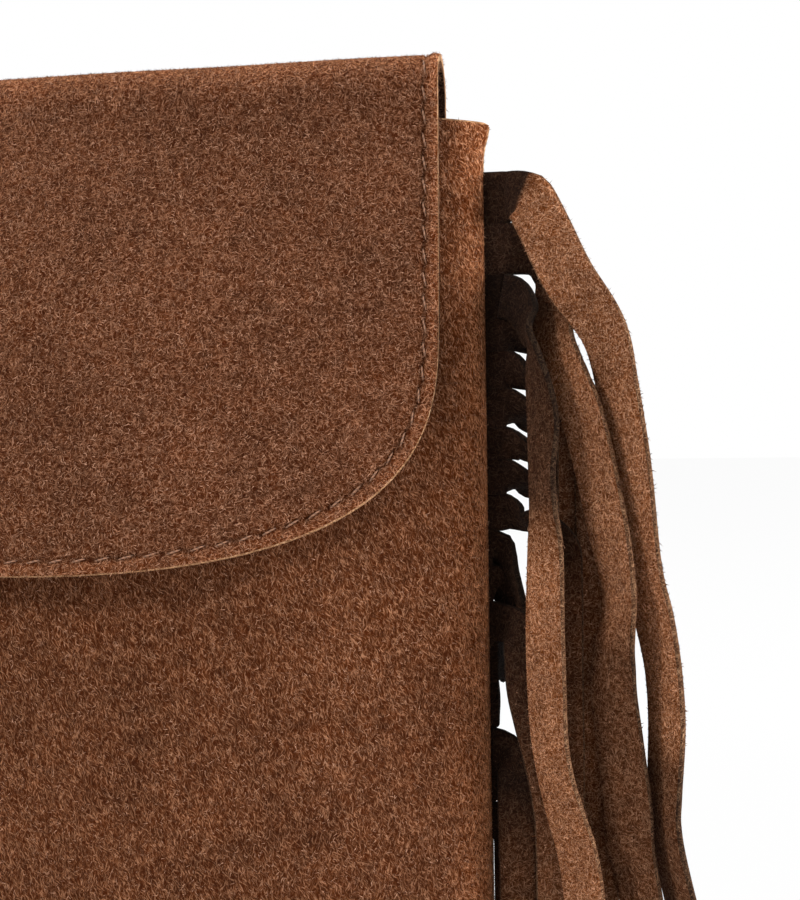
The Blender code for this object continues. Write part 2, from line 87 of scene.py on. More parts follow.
# Base and lining
BASE_POINTS = 160
BASE_BEVEL = 0.0006
BASE_EASE = 0.0001
BASE_STEP = 0.0003
LINING_FLAT = (0.440, 0.195)
LINING_POINTS = 200
LINING_RINGS = 40
LINING_BELOW_RIM = 0.001
LINING_EASE = 0.0017
LINING_EASE_RISE = 0.030
LINING_SIDE_ROOM = 0.002
CREASE = 0.0006
CREASE_WAVE = (0.013, 0.030)
CREASE_SEED = 17
CREASE_RISE = 0.050
CREASE_DEPTH = 0.020

# Flap
FLAP_CORNER_HEIGHT = 0.053
FLAP_CORNER_POWER = 3.0
FLAP_EASE = 0.0009
TAB_BELOW_RIM = 0.028
SNAP_ABOVE_EDGE = 0.028
SNAP_STACK = 0.0049
SNAP_WASHER_ROOM = 0.0009
SNAP_PLATEAU = 0.030
SNAP_SPREAD = 0.055
FLAP_GRID = (230, 196)
FLAP_ROW_CROWDING = 0.055
FLAP_SWELL = 0.00012
FLAP_WAVE = (0.017, 0.019)
FLAP_WAVE_SEED = 3
FLAP_SWELL_RISE = 0.010
HINGE_BLEND = 0.005

# Stitching along the flap's edge. The puff outside it is placed in shares of its inset, and a
# stitch's ends dive and taper in shares of the thread's radius
STITCH_INSET = 0.0029
STITCH_PITCH = 0.0050
STITCH_LENGTH = 0.0031
STITCH_SLANT = -12.0
THREAD_RADIUS = 0.00020
THREAD_DIVE = 8.8
THREAD_TAPER = 0.55
GROOVE_DEPTH = 0.00042
GROOVE_WIDTH = 0.00055
RIM_PUFF = 0.00030
PUFF_PLACE = 0.45
PUFF_WIDTH = 0.40
HOLE_RADIUS = 0.00050
HOLE_DEPTH = 0.0003

# How much lighter or darker the nap is painted: a painted highlight along the panels' side seams
# and over the flap's fold, painted shade in the stitches' groove and holes, and a lighter band
# along the flap's rim. RIM_BAND is a share of the stitches' inset
SEAM_PAINTED_LIGHT = 0.95
SEAM_BAND = 0.0100
RIM_LIGHT = 0.55
RIM_BAND = 0.9
CROWN_PAINTED_LIGHT = 1.00
CROWN_BAND = 0.0052
GROOVE_PAINTED_SHADE = 0.05
HOLE_PAINTED_SHADE = 0.75

# Fringe: the strips of one comb from the top down, as width, how far from the seam each is
# cut free, and how far in front of its neighbours (-) or behind them (+) it comes away
SLIT = 0.0005
END_HEIGHT = 0.008
END_UNEVEN = 0.0015
STRIPS = (
    (0.0109, 0.0040, -0.0009),
    (0.0113, 0.0040, 0.0009),
    (0.0096, 0.0040, -0.0009),
    (0.0071, 0.0040, 0.0012),
    (0.0082, 0.0042, -0.0014),
    (0.0087, 0.0038, 0.0009),
    (0.0069, 0.0041, -0.0018),
    (0.0077, 0.0035, 0.0014),
    (0.0078, 0.0033, -0.0009),
    (0.0080, 0.0028, 0.0009),
    (0.0082, 0.0022, 0.0026),
    (0.0085, 0.0012, -0.0009),
    (0.0093, 0.0005, 0.0000),
    (0.0100, 0.0005, 0.0000),
    (0.0082, 0.0004, -0.0009),
    (0.0083, 0.0004, 0.0014),
    (0.0082, 0.0004, -0.0002),
)
HANGING_RUN = 0.0045
ELBOW_ROOM = 0.0009
ELBOW_STEPS = 3
KNEE_LEAN = 45.0
CLAW_TURNS = (0.0, 28.0, 54.0, 62.0, 50.0, 30.0)
SEEN_EASE = 0.80
HANGING_EASE = 0.65
FREE_RUN = 0.004
STRIP_SPACING = 0.0011
STRIP_COLUMNS = 9
STRIP_ROUNDNESS = 0.25
STRIP_SEEDS = (100, 200, 300)
STRIP_CUP = 0.00035
STRIP_SWAY = 0.00022
SWAY_WAVE = 0.016
STRIP_RIPPLE = 0.00012
RIPPLE_WAVE = 0.013
STRIP_APART = 0.02

# Routes of the strips on top: the level run from the cut, the lean of the arc after it in
# degrees, then points as the distance out from the seam, behind it, the share of the drop to
# the lower end, and the turn in degrees
SEEN = {
    0: (
        0.0020,
        44.0,
        (
            (0.0137, -0.0078, 0.050, 4.0),
            (0.0184, -0.0108, 0.113, 8.0),
            (0.0253, -0.0118, 0.178, 28.0),
            (0.0280, -0.0112, 0.240, 40.0),
            (0.0303, -0.0102, 0.330, 43.0),
            (0.0326, -0.0090, 0.465, 43.0),
            (0.0353, -0.0083, 0.534, 47.0),
            (0.0371, -0.0082, 0.600, 53.0),
            (0.0377, -0.0080, 0.666, 54.0),
            (0.0371, -0.0079, 0.746, 58.0),
            (0.0371, -0.0078, 0.790, 60.0),
            (0.0390, -0.0077, 0.855, 58.0),
            (0.0448, -0.0076, 1.000, 54.0),
        ),
    ),
    1: (
        0.0052,
        66.0,
        (
            (0.0163, -0.0020, 0.052, 24.0),
            (0.0149, -0.0056, 0.118, 42.0),
            (0.0173, -0.0080, 0.175, 40.0),
            (0.0204, -0.0087, 0.225, 39.0),
            (0.0236, -0.0090, 0.307, 41.0),
            (0.0264, -0.0098, 0.400, 46.0),
            (0.0281, -0.0098, 0.470, 56.0),
            (0.0277, -0.0098, 0.515, 55.0),
            (0.0271, -0.0098, 0.540, 48.0),
            (0.0268, -0.0096, 0.565, 40.0),
            (0.0268, -0.0092, 0.605, 33.0),
            (0.0281, -0.0088, 0.671, 30.0),
            (0.0296, -0.0083, 0.757, 28.0),
            (0.0299, -0.0082, 0.810, 28.0),
            (0.0316, -0.0081, 0.865, 36.0),
            (0.0352, -0.0080, 1.000, 40.0),
        ),
    ),
    2: (
        0.0002,
        72.0,
        (
            (0.0099, -0.0094, 0.062, 86.0),
            (0.0107, -0.0106, 0.090, 74.0),
            (0.0119, -0.0108, 0.135, 58.0),
            (0.0127, -0.0110, 0.185, 50.0),
            (0.0123, -0.0112, 0.250, 58.0),
            (0.0126, -0.0118, 0.310, 55.0),
            (0.0129, -0.0124, 0.360, 43.0),
            (0.0127, -0.0128, 0.470, 35.0),
            (0.0129, -0.0128, 0.560, 34.0),
            (0.0134, -0.0128, 0.630, 38.0),
            (0.0147, -0.0128, 0.685, 38.0),
            (0.0167, -0.0128, 0.735, 32.0),
            (0.0190, -0.0128, 0.790, 28.0),
            (0.0203, -0.0128, 0.860, 26.0),
            (0.0212, -0.0128, 1.000, 26.0),
        ),
    ),
    11: (
        0.0020,
        58.0,
        (
            (0.0082, -0.0072, 0.170, 0.0),
            (0.0096, -0.0079, 0.262, 0.0),
            (0.0117, -0.0081, 0.377, 0.0),
            (0.0134, -0.0081, 0.490, 0.0),
            (0.0142, -0.0081, 0.620, 0.0),
            (0.0145, -0.0081, 1.000, 0.0),
        ),
    ),
}

# The strips that hang among them: out from the seam, behind it, and the turn in degrees
HANGING = {
    3: (0.0189, -0.0004, 2.0),
    4: (0.0233, -0.0031, 0.0),
    5: (0.0180, 0.0125, 4.0),
    6: (0.0158, 0.0034, 0.0),
    7: (0.0135, 0.0098, 6.0),
    8: (0.0166, -0.0057, 0.0),
    9: (0.0154, -0.0036, 0.0),
    10: (0.0160, 0.0015, 0.0),
    14: (0.0056, -0.0044, 0.0),
    15: (0.0060, 0.0046, 0.0),
    16: (0.0044, 0.0006, 0.0),
}

# Among them, the strips that sag straight from the seam: out from it, down, and the turn. Two
# points further down lead to where they hang free
SLACK = (9, 10)
SLACK_ROUTE = (
    (0.0022, 0.0005, 20.0),
    (0.0032, 0.0020, 42.0),
    (0.0041, 0.0050, 56.0),
    (0.0054, 0.0098, 60.0),
    (0.0067, 0.0155, 60.0),
    (0.0086, 0.0260, 52.0),
    (0.0118, 0.0460, 20.0),
)
SLACK_STEPS = (0.018, 0.036)
# The strips near the base, which leave the seam without a turn
LEVEL = (14, 15, 16)

# How light the nap is painted along a strip on top, and along the rest: the run from the cut, and
# the shade. This is painted shade: dark at the roots beside the seam, where the pouch shadows
# them, and darker along stretches that lie in the shadow of strips in front
STRIP_PAINTED_SHADES = {
    0: ((0.0060, 0.08), (0.0085, 1.00), (0.1280, 1.00), (0.1360, 0.40), (0.1800, 0.34)),
    1: (
        (0.0150, 0.08),
        (0.0240, 0.26),
        (0.0360, 1.00),
        (0.0880, 1.00),
        (0.1000, 0.38),
        (0.1350, 0.50),
    ),
    2: ((0.0100, 0.05), (0.0220, 0.14), (0.0500, 0.26), (0.0660, 1.00)),
    11: ((0.0100, 0.08), (0.0500, 0.34), (0.0700, 0.50)),
}
PAINTED_SHADES_BEHIND = ((0.0120, 0.06), (0.0300, 0.32), (0.0900, 0.60))

# The two strips that are folded back round the seam and lie behind the bag: how far each keeps
# off the other, where that starts and over what run, then their points as the distance out from
# the seam, behind it, and down, and the turn in degrees
TUCKED = {12: 0.0021, 13: 0.0}
TUCKED_SPREAD = (0.0020, 0.0060)
TUCKED_ROUTE = (
    (0.0005, 0.0000, 0.0000, 0.0),
    (0.0010, 0.0003, 0.0000, -30.0),
    (0.0012, 0.0012, 0.0000, -75.0),
    (0.0011, 0.0026, 0.0000, -93.0),
    (0.0009, 0.0046, 0.0001, -97.0),
    (0.0004, 0.0072, 0.0005, -104.0),
    (-0.0010, 0.0100, 0.0026, -118.0),
    (-0.0032, 0.0128, 0.0080, -133.0),
    (-0.0053, 0.0147, 0.0170, -144.0),
    (-0.0060, 0.0151, 0.0280, -145.0),
)

# Nap: directions of its fibres in degrees, and their tufts in one millimetre along and across
CROSSED_NAP = (
    (10.0, 0.72, 3.9),
    (48.0, 0.78, 4.1),
    (85.0, 0.72, 4.0),
    (122.0, 0.78, 3.9),
    (158.0, 0.72, 4.1),
)
BRUSHED_NAP = (
    (62.0, 0.62, 3.4),
    (80.0, 0.56, 3.5),
    (35.0, 0.68, 3.4),
    (110.0, 0.68, 3.6),
)
TO_MILLIMETRES = (1000, 1000, 1)
DRIFT_SCALE = 0.35
DRIFT = 1.4
FINE_SCALE = 5.0
FINE_SHARE = 0.18
NAP_STOPS = (0.53, 0.61, 0.69)
NAP_RELIEF = 0.0012
PATCH_SCALES = (0.045, 0.30)
PATCH_WEIGHTS = (0.9, 1.0)
PATCH_FLOOR = 0.05
SHEEN = 0.65
SHEEN_TINT = (1.0, 0.45, 0.20, 1)

# Loose fibres: their number on a panel, the flap and a comb, and their seeds
PANEL_FIBRES = (60000, 21)
FLAP_FIBRES = (80000, 31)
FRINGE_FIBRES = (50000, 41)
FIBRE_LENGTH = (0.0006, 0.0013)
FIBRE_WIDTH = 0.00020
FIBRE_RISE = (0.00005, 0.00046)
FIBRE_SINK = 0.00004
FIBRE_SPREAD = (2.0, 2.2)
FIBRE_STOPS = (0.0, 0.45, 0.95)
GROOVE_THINNING = 0.6

# Colours, each suede's as its dark depth, its middle tone and its light tips
FLAP_COLOURS = ((0.052, 0.008, 0.000), (0.124, 0.038, 0.012), (0.370, 0.172, 0.096))
PANEL_COLOURS = ((0.064, 0.012, 0.001), (0.150, 0.048, 0.016), (0.400, 0.185, 0.098))
# The fringe's suede is painted lighter than the panels' and the flap's, as a painted highlight on the
# same leather
STRIP_PAINTED_LIGHT_COLOURS = ((0.120, 0.028, 0.003), (0.300, 0.110, 0.042), (0.660, 0.345, 0.200))
REVERSE_COLOURS = ((0.016, 0.006, 0.003), (0.060, 0.024, 0.013), (0.150, 0.072, 0.044))
STRIP_REVERSE_COLOURS = ((0.028, 0.008, 0.003), (0.078, 0.030, 0.014), (0.210, 0.100, 0.062))
RAW_COLOURS = ((0.180, 0.080, 0.034), (0.360, 0.200, 0.100), (0.600, 0.390, 0.230))
STRIP_RAW_COLOURS = ((0.060, 0.022, 0.010), (0.170, 0.080, 0.038), (0.400, 0.230, 0.130))
FIBRE_COLOURS = ((0.050, 0.012, 0.003), (0.160, 0.062, 0.028), (0.600, 0.320, 0.200))
THREAD = (0.340, 0.160, 0.085)
COTTON = (0.420, 0.330, 0.230)
BRASS = (0.420, 0.330, 0.180)

# Lamps, as place, size and power, and what they point at
LAMPS = {
    "key": ((-0.80, -0.85, 1.00), 0.35, 12.5),
    "top": ((-0.10, -0.10, 1.30), 0.50, 6.0),
    "side": ((1.25, -0.04, 0.35), 0.60, 20.0),
}
LAMP_TARGET = (0.03, 0, 0.11)
WORLD_LIGHT = 0.27
FLOOR_WHITE = 0.95
FLOOR_COLOUR = (0.86, 0.86, 0.86, 1)
FLOOR_SIZE = 6
FLOOR_DROP = 0.0002

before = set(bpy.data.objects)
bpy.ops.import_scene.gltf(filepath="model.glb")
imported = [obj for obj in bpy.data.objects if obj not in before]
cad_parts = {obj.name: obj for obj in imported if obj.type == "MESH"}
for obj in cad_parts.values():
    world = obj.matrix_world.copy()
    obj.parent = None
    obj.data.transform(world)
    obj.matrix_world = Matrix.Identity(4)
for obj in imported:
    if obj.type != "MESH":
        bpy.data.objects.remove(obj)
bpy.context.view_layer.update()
PANEL_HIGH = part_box("front_panel")[1]
FLAP_LOW, FLAP_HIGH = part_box("flap_suede")
COMB_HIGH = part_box("fringe_right")[1]
HALF_WIDTH = PANEL_HIGH[0]
RIM_HEIGHT = PANEL_HIGH[2]
CROWN_HEIGHT = FLAP_HIGH[2]
FLAP_HALF_WIDTH = FLAP_HIGH[0]
FLAP_EDGE = FLAP_LOW[2]
FLAP_DROP = CROWN_HEIGHT - FLAP_EDGE
COMB_TOP = COMB_HIGH[2]
SNAP_HEIGHT = FLAP_EDGE + SNAP_ABOVE_EDGE


# Materials


class Nodes:
    """A short way to write the nodes of a material or a world."""

    def __init__(self, made, shader="Principled BSDF"):
        self.made = made
        self.made.use_nodes = True
        self.tree = self.made.node_tree
        self.shader = self.tree.nodes[shader]

    def fill(self, node, inputs):
        """Gives a node's inputs their values, or links them to the outputs given."""
        for key, value in dict(inputs).items():
            if isinstance(value, bpy.types.NodeSocket):
                self.tree.links.new(value, node.inputs[key])
            else:
                node.inputs[key].default_value = value

    def add(self, kind, inputs=(), **settings):
        node = self.tree.nodes.new(kind)
        for key, value in settings.items():
            setattr(node, key, value)
        self.fill(node, inputs)
        return node

    def math(self, operation, first, second):
        node = self.add("ShaderNodeMath", {0: first, 1: second}, operation=operation)
        return node.outputs[0]

    def noise(self, vector, scale, detail=2.0, roughness=0.5):
        inputs = {"Vector": vector, "Scale": scale, "Detail": detail, "Roughness": roughness}
        return self.add("ShaderNodeTexNoise", inputs)

    def streaks(self, vector, turn, along, across, detail):
        """Noise drawn out along one direction, in features per millimetre."""
        inputs = {
            "Vector": vector,
            "Rotation": (0, 0, math.radians(turn)),
            "Scale": (1 / along, 1 / across, 1),
        }
        turned = self.add("ShaderNodeMapping", inputs, vector_type="TEXTURE")
        return self.noise(turned.outputs[0], 1.0, detail, 0.6).outputs[0]

    def bump(self, height, strength, distance):
        inputs = {"Height": height, "Strength": strength, "Distance": distance}
        return self.add("ShaderNodeBump", inputs).outputs[0]

    def mix(self, share, first, second):
        """Mixes two numbers."""
        node = self.add("ShaderNodeMix", {0: share, 2: first, 3: second})
        return node.outputs[0]

    def ramp(self, value, stops):
        node = self.add("ShaderNodeValToRGB", {0: value})
        elements = node.color_ramp.elements
        while len(elements) < len(stops):
            elements.new(0.5)
        for element, (place, colour) in zip(elements, stops):
            element.position = place
            element.color = (*colour, 1)
        return node.outputs[0]


def suede(name, colours, fibres, seed):
    """Napped leather: tufts of short fibres that cross each other, over soft patches."""
    n = Nodes(bpy.data.materials.new(name))
    flat = n.add("ShaderNodeUVMap", uv_map="Flat")
    away = (seed * 37.0, seed * 11.0, seed)
    inputs = {"Vector": flat.outputs[0], "Location": away, "Scale": TO_MILLIMETRES}
    place = n.add("ShaderNodeMapping", inputs).outputs[0]
    drift = n.noise(place, DRIFT_SCALE, 2.0).outputs[1]
    swayed = n.add("ShaderNodeVectorMath", {0: drift, "Scale": DRIFT}, operation="SCALE").outputs[0]
    swayed = n.add("ShaderNodeVectorMath", {0: place, 1: swayed}, operation="ADD").outputs[0]
    tuft = None
    for angle, along, across in fibres:
        fibre = n.streaks(swayed, angle, along, across, 1.0)
        tuft = fibre if tuft is None else n.math("MAXIMUM", tuft, fibre)
    fine = n.noise(place, FINE_SCALE, 3.0, 0.7).outputs[0]
    tufts = n.mix(FINE_SHARE, tuft, fine)
    colour = n.ramp(tufts, tuple(zip(NAP_STOPS, colours)))
    wide = n.noise(place, PATCH_SCALES[0], 3.0, 0.55).outputs[0]
    near = n.noise(place, PATCH_SCALES[1], 3.0, 0.6).outputs[0]
    wide, near = (n.math("MULTIPLY", *pair) for pair in zip((wide, near), PATCH_WEIGHTS))
    tone = n.math("ADD", n.math("ADD", wide, near), PATCH_FLOOR)
    # The Shade attribute brings in painted light and shade: highlights at the seams and fold, shade
    # in grooves, holes and the fringe's roots
    shade = n.add("ShaderNodeAttribute", attribute_name="Shade").outputs[2]
    tone = n.math("MULTIPLY", tone, shade)
    toned = n.add("ShaderNodeVectorMath", {0: colour, "Scale": tone}, operation="SCALE")
    inputs = {0: tufts, 1: NAP_STOPS[0], 2: NAP_STOPS[2], 3: 0.0, 4: SHEEN}
    raised = n.add("ShaderNodeMapRange", inputs)
    looks = {
        "Base Color": toned.outputs[0],
        "Normal": n.bump(tufts, 1.0, NAP_RELIEF),
        "Roughness": 0.95,
        "Specular IOR Level": 0.1,
        "Sheen Weight": n.math("MULTIPLY", shade, raised.outputs[0]),
        "Sheen Roughness": 0.35,
        "Sheen Tint": SHEEN_TINT,
    }
    n.fill(n.shader, looks)
    return n.made


def fibre_material(name):
    """Single fibres of the nap, each in its own shade."""
    n = Nodes(bpy.data.materials.new(name))
    shade = n.add("ShaderNodeAttribute", attribute_name="Shade").outputs[2]
    colour = n.ramp(shade, tuple(zip(FIBRE_STOPS, FIBRE_COLOURS)))
    n.fill(n.shader, {"Base Color": colour, "Roughness": 0.9, "Specular IOR Level": 0.1})
    return n.made


def cotton(name):
    """Plain woven lining."""
    n = Nodes(bpy.data.materials.new(name))
    flat = n.add("ShaderNodeUVMap", uv_map="Flat")
    threads = []
    for turn in (0.0, math.pi / 2):
        inputs = {"Vector": flat.outputs[0], "Rotation": (0, 0, turn), "Scale": TO_MILLIMETRES}
        turned = n.add("ShaderNodeMapping", inputs)
        inputs = {"Vector": turned.outputs[0], "Scale": 0.85, "Distortion": 0.6, "Detail": 1.0}
        threads.append(n.add("ShaderNodeTexWave", inputs).outputs[1])
    weave = n.math("MULTIPLY", *threads)
    dark = tuple(0.55 * c for c in COTTON)
    colour = n.ramp(weave, ((0.0, dark), (0.7, COTTON)))
    bump = n.bump(weave, 0.5, 0.0003)
    n.fill(n.shader, {"Base Color": colour, "Normal": bump, "Roughness": 0.9})
    return n.made


def worn_brass(name):
    n = Nodes(bpy.data.materials.new(name))
    place = n.add("ShaderNodeTexCoord").outputs[3]
    wear = n.noise(place, 900.0, 4.0, 0.6).outputs[0]
    dull = tuple(0.45 * c for c in BRASS)
    colour = n.ramp(wear, ((0.35, dull), (0.6, BRASS)))
    rough = n.math("ADD", n.math("MULTIPLY", wear, 0.35), 0.15)
    n.fill(n.shader, {"Base Color": colour, "Roughness": rough, "Metallic": 1.0})
    return n.made


def thread_material(name):
    """Waxed thread, with the diagonal lines of its twisted plies."""
    n = Nodes(bpy.data.materials.new(name))
    flat = n.add("ShaderNodeUVMap", uv_map="Flat")
    turned = n.add("ShaderNodeMapping", {"Vector": flat.outputs[0], "Scale": TO_MILLIMETRES})
    inputs = {"Vector": turned.outputs[0], "Scale": 0.55, "Distortion": 0.4}
    ply = n.add("ShaderNodeTexWave", inputs, bands_direction="DIAGONAL").outputs[1]
    dark = tuple(0.45 * c for c in THREAD)
    colour = n.ramp(ply, ((0.1, dark), (0.6, THREAD)))
    bump = n.bump(ply, 0.6, 0.0001)
    n.fill(n.shader, {"Base Color": colour, "Normal": bump, "Roughness": 0.6})
    return n.made


# Meshes


def smooth(share):
    share = np.clip(share, 0.0, 1.0)
    return share * share * (3 - 2 * share)


def waves(first, second, seed):
    """A gentle, repeatable unevenness between about -1 and 1."""
    pick = random.Random(seed)
    total = 0.0
    for k in range(4):
        a, b = pick.uniform(-1, 1), pick.uniform(-1, 1)
        phase = (a * first + b * second) * (1 + 0.6 * k) + pick.uniform(0, 6.28)
        total = total + np.sin(phase) / 3
    return total


def border(rows, columns):
    """The grid's edge, as a closed loop of row and column."""
    loop = [(0, c) for c in range(columns - 1)]
    loop += [(r, columns - 1) for r in range(rows - 1)]
    loop += [(rows - 1, c) for c in range(columns - 1, 0, -1)]
    loop += [(r, 0) for r in range(rows - 1, 0, -1)]
    return loop


def shell(outer, inner, flat, roundness=EDGE_ROUNDNESS):
    """Points, faces, material numbers and flat places of a sheet with a rounded cut edge."""
    rows, columns = outer.shape[:2]
    count = rows * columns
    points = [outer.reshape(-1, 3), inner.reshape(-1, 3)]
    loop = border(rows, columns)
    edge = []
    for r, c in loop:
        inside = outer[min(max(r, 1), rows - 2), min(max(c, 1), columns - 2)]
        away = outer[r, c] - inside
        away = away / (np.linalg.norm(away) + 1e-12)
        thick = np.linalg.norm(outer[r, c] - inner[r, c])
        edge.append((outer[r, c] + inner[r, c]) / 2 + away * thick * roundness)
    points.append(np.array(edge))
    places = flat.reshape(-1, 2)
    rim_places = [flat[r, c] + (0, SUEDE / 2) for r, c in loop]
    places = np.concatenate([places, places + (0, SUEDE), rim_places])
    faces = []
    numbers = []
    for r in range(rows - 1):
        for c in range(columns - 1):
            a = r * columns + c
            faces.append((a, a + 1, a + columns + 1, a + columns))
            numbers.append(0)
            faces.append((count + a, count + a + columns, count + a + columns + 1, count + a + 1))
            numbers.append(1)
    for k in range(len(loop)):
        after = (k + 1) % len(loop)
        a = loop[k][0] * columns + loop[k][1]
        b = loop[after][0] * columns + loop[after][1]
        m, n = 2 * count + k, 2 * count + after
        faces.extend(((a, m, n, b), (m, count + a, count + b, n)))
        numbers.extend((2, 2))
    return np.concatenate(points), faces, numbers, places


def piece(name, parts, materials, shades=None):
    """One object from several meshes given as points, faces, material numbers and places."""
    mesh = bpy.data.meshes.new(name)
    points = np.concatenate([part[0] for part in parts])
    places = np.concatenate([part[3] for part in parts])
    faces = []
    numbers = []
    start = 0
    for part in parts:
        faces.extend(tuple(start + i for i in face) for face in part[1])
        numbers.extend(part[2])
        start += len(part[0])
    mesh.from_pydata(points.tolist(), [], faces)
    mesh.polygons.foreach_set("material_index", numbers)
    for made in materials:
        mesh.materials.append(made)
    corners = np.empty(len(mesh.loops), dtype=np.int32)
    mesh.loops.foreach_get("vertex_index", corners)
    flat = mesh.uv_layers.new(name="Flat")
    flat.data.foreach_set("uv", places[corners].astype(np.float32).ravel())
    if shades is None:
        shades = np.ones(len(points))
    shade = mesh.attributes.new("Shade", "FLOAT", "POINT")
    shade.data.foreach_set("value", np.asarray(shades, dtype=np.float32))
    body = bmesh.new()
    body.from_mesh(mesh)
    bmesh.ops.recalc_face_normals(body, faces=body.faces[:])
    body.to_mesh(mesh)
    body.free()
    mesh.shade_smooth()
    made = bpy.data.objects.new(name, mesh)
    bpy.context.scene.collection.objects.link(made)
    return made


def nap(name, surfaces, count, seed, material):
    """Single fibres that lean over a surface. Each surface is a grid of its points and, for every
    point, how thick the nap stands there."""
    chance = np.random.default_rng(seed)
    roots, ways, sides, rises = [], [], [], []
    areas = []
    for points, _ in surfaces:
        edge_a = points[1:, :-1] - points[:-1, :-1]
        edge_b = points[:-1, 1:] - points[:-1, :-1]
        areas.append(np.linalg.norm(np.cross(edge_a, edge_b), axis=-1))
    shares = [area * density[:-1, :-1] for area, (_, density) in zip(areas, surfaces)]
    whole = sum(float(share.sum()) for share in shares)
    for area, share, (points, _) in zip(areas, shares, surfaces):
        weight = share.ravel()
        part = int(count * weight.sum() / whole)
        cell = chance.choice(weight.size, part, p=weight / weight.sum())
        r, c = np.divmod(cell, area.shape[1])
        s, t = chance.random((2, part, 1))
        a, b = points[r, c], points[r + 1, c]
        d, e = points[r, c + 1], points[r + 1, c + 1]
        place = (a * (1 - s) + b * s) * (1 - t) + (d * (1 - s) + e * s) * t
        up = b - a
        up /= np.linalg.norm(up, axis=1)[:, None] + 1e-12
        normal = np.cross(up, d - a)
        normal /= np.linalg.norm(normal, axis=1)[:, None] + 1e-12
        aside = np.cross(up, normal)
        angle = chance.uniform(0, 2 * np.pi, (part, 1))
        roots.append(place)
        ways.append(up * np.sin(angle) + aside * np.cos(angle))
        sides.append(up * np.cos(angle) - aside * np.sin(angle))
        rises.append(normal)
    root, way, side, rise = (np.concatenate(each) for each in (roots, ways, sides, rises))
    total = len(root)
    length = chance.uniform(*FIBRE_LENGTH, (total, 1))
    height = chance.uniform(*FIBRE_RISE, (total, 1))
    foot = root - rise * FIBRE_SINK
    corners = (
        foot - side * FIBRE_WIDTH / 2,
        foot + side * FIBRE_WIDTH / 2,
        root + way * length + rise * height,
    )
    mesh = bpy.data.meshes.new(name)
    mesh.vertices.add(3 * total)
    mesh.vertices.foreach_set("co", np.stack(corners, 1).astype(np.float32).ravel())
    mesh.loops.add(3 * total)
    mesh.loops.foreach_set("vertex_index", np.arange(3 * total, dtype=np.int32))
    mesh.polygons.add(total)
    mesh.polygons.foreach_set("loop_start", np.arange(0, 3 * total, 3, dtype=np.int32))
    shade = mesh.attributes.new("Shade", "FLOAT", "POINT")
    tones = chance.beta(*FIBRE_SPREAD, total)
    shade.data.foreach_set("value", np.repeat(tones, 3).astype(np.float32))
    mesh.materials.append(material)
    mesh.update(calc_edges=True)
    made = bpy.data.objects.new(name, mesh)
    bpy.context.scene.collection.objects.link(made)
    return made


# Pouch


def half_depth(z):
    """Half the pouch's depth at a height: widest at the belly, narrow at the mouth."""
    high = np.maximum(0.0, RIM_HEIGHT - z) / (RIM_HEIGHT - BELLY_HEIGHT)
    low = z / BELLY_HEIGHT
    share = np.where(z > BELLY_HEIGHT, high, low)
    start = np.where(z > BELLY_HEIGHT, MOUTH_HALF_DEPTH, BASE_HALF_DEPTH)
    eased = (1 - (1 - share) ** 2 + smooth(share)) / 2
    return start + (BELLY_HALF_DEPTH - start) * eased


def base_tuck(z):
    """How far the panels draw in at a height, where they turn under."""
    left = np.maximum(0.0, BASE_ROUND - z)
    return BASE_ROUND - np.sqrt(BASE_ROUND**2 - left**2)


def bulge(x):
    """Share of the full depth at a distance from the middle."""
    across = np.minimum(1.0, np.abs(x) / HALF_WIDTH)
    return (1 - across**SECTION_POWER) ** (1 / SECTION_POWER)


def section(angle, half_width, depth):
    cosine = np.cos(angle)
    power = 2 / SECTION_POWER
    x = np.copysign(np.abs(cosine) ** power, cosine) * half_width
    return x, np.maximum(0.0, np.sin(angle)) ** power * depth


def lengths(points, axis):
    """Distance run along one axis of a grid of points, for its flat places."""
    steps = np.linalg.norm(np.diff(points, axis=axis), axis=-1)
    run = np.cumsum(steps, axis=axis)
    pad = [(1, 0) if k == axis else (0, 0) for k in range(2)]
    return np.pad(run, pad)


def panel_grid(side, inset):
    """Points of one face of a panel. Rows go up, and columns go from the right seam to the left."""
    rows, columns = PANEL_GRID
    seam = SUEDE / 2 + GAP
    share = np.linspace(0, 1, columns)[None, :]
    lift = np.linspace(0, 1, rows)[:, None] ** ROW_CROWDING
    top_x = section(np.pi * share, HALF_WIDTH, 1.0)[0]
    top = RIM_HEIGHT - RIM_CORNER_DROP * (np.abs(top_x) / HALF_WIDTH) ** RIM_CORNER_POWER
    z = GAP + (top - GAP) * lift
    drawn_in = base_tuck(z) + inset
    depth = half_depth(z) - drawn_in
    start = np.arcsin(np.minimum(1.0, (seam / depth) ** (SECTION_POWER / 2)))
    even = share + COLUMN_CROWDING * np.sin(2 * np.pi * share) / (2 * np.pi)
    angle = start + (np.pi - 2 * start) * even
    x, y = section(angle, HALF_WIDTH - drawn_in, depth)
    ear = np.exp(-(((top - z) / EAR_HEIGHT) ** 2)) * (np.abs(x) / HALF_WIDTH) ** EAR_POWER
    x = x + np.sign(x) * EAR * ear
    uneven = waves(x / PANEL_WAVE[0], z / PANEL_WAVE[1], PANEL_WAVE_SEED[side])
    uneven = uneven * smooth((z - FLAT_FOOT) / SWELL_RISE)
    y = y + PANEL_SWELL * uneven * smooth(y / SWELL_DEPTH)
    return np.stack([x, side * y, z], -1)


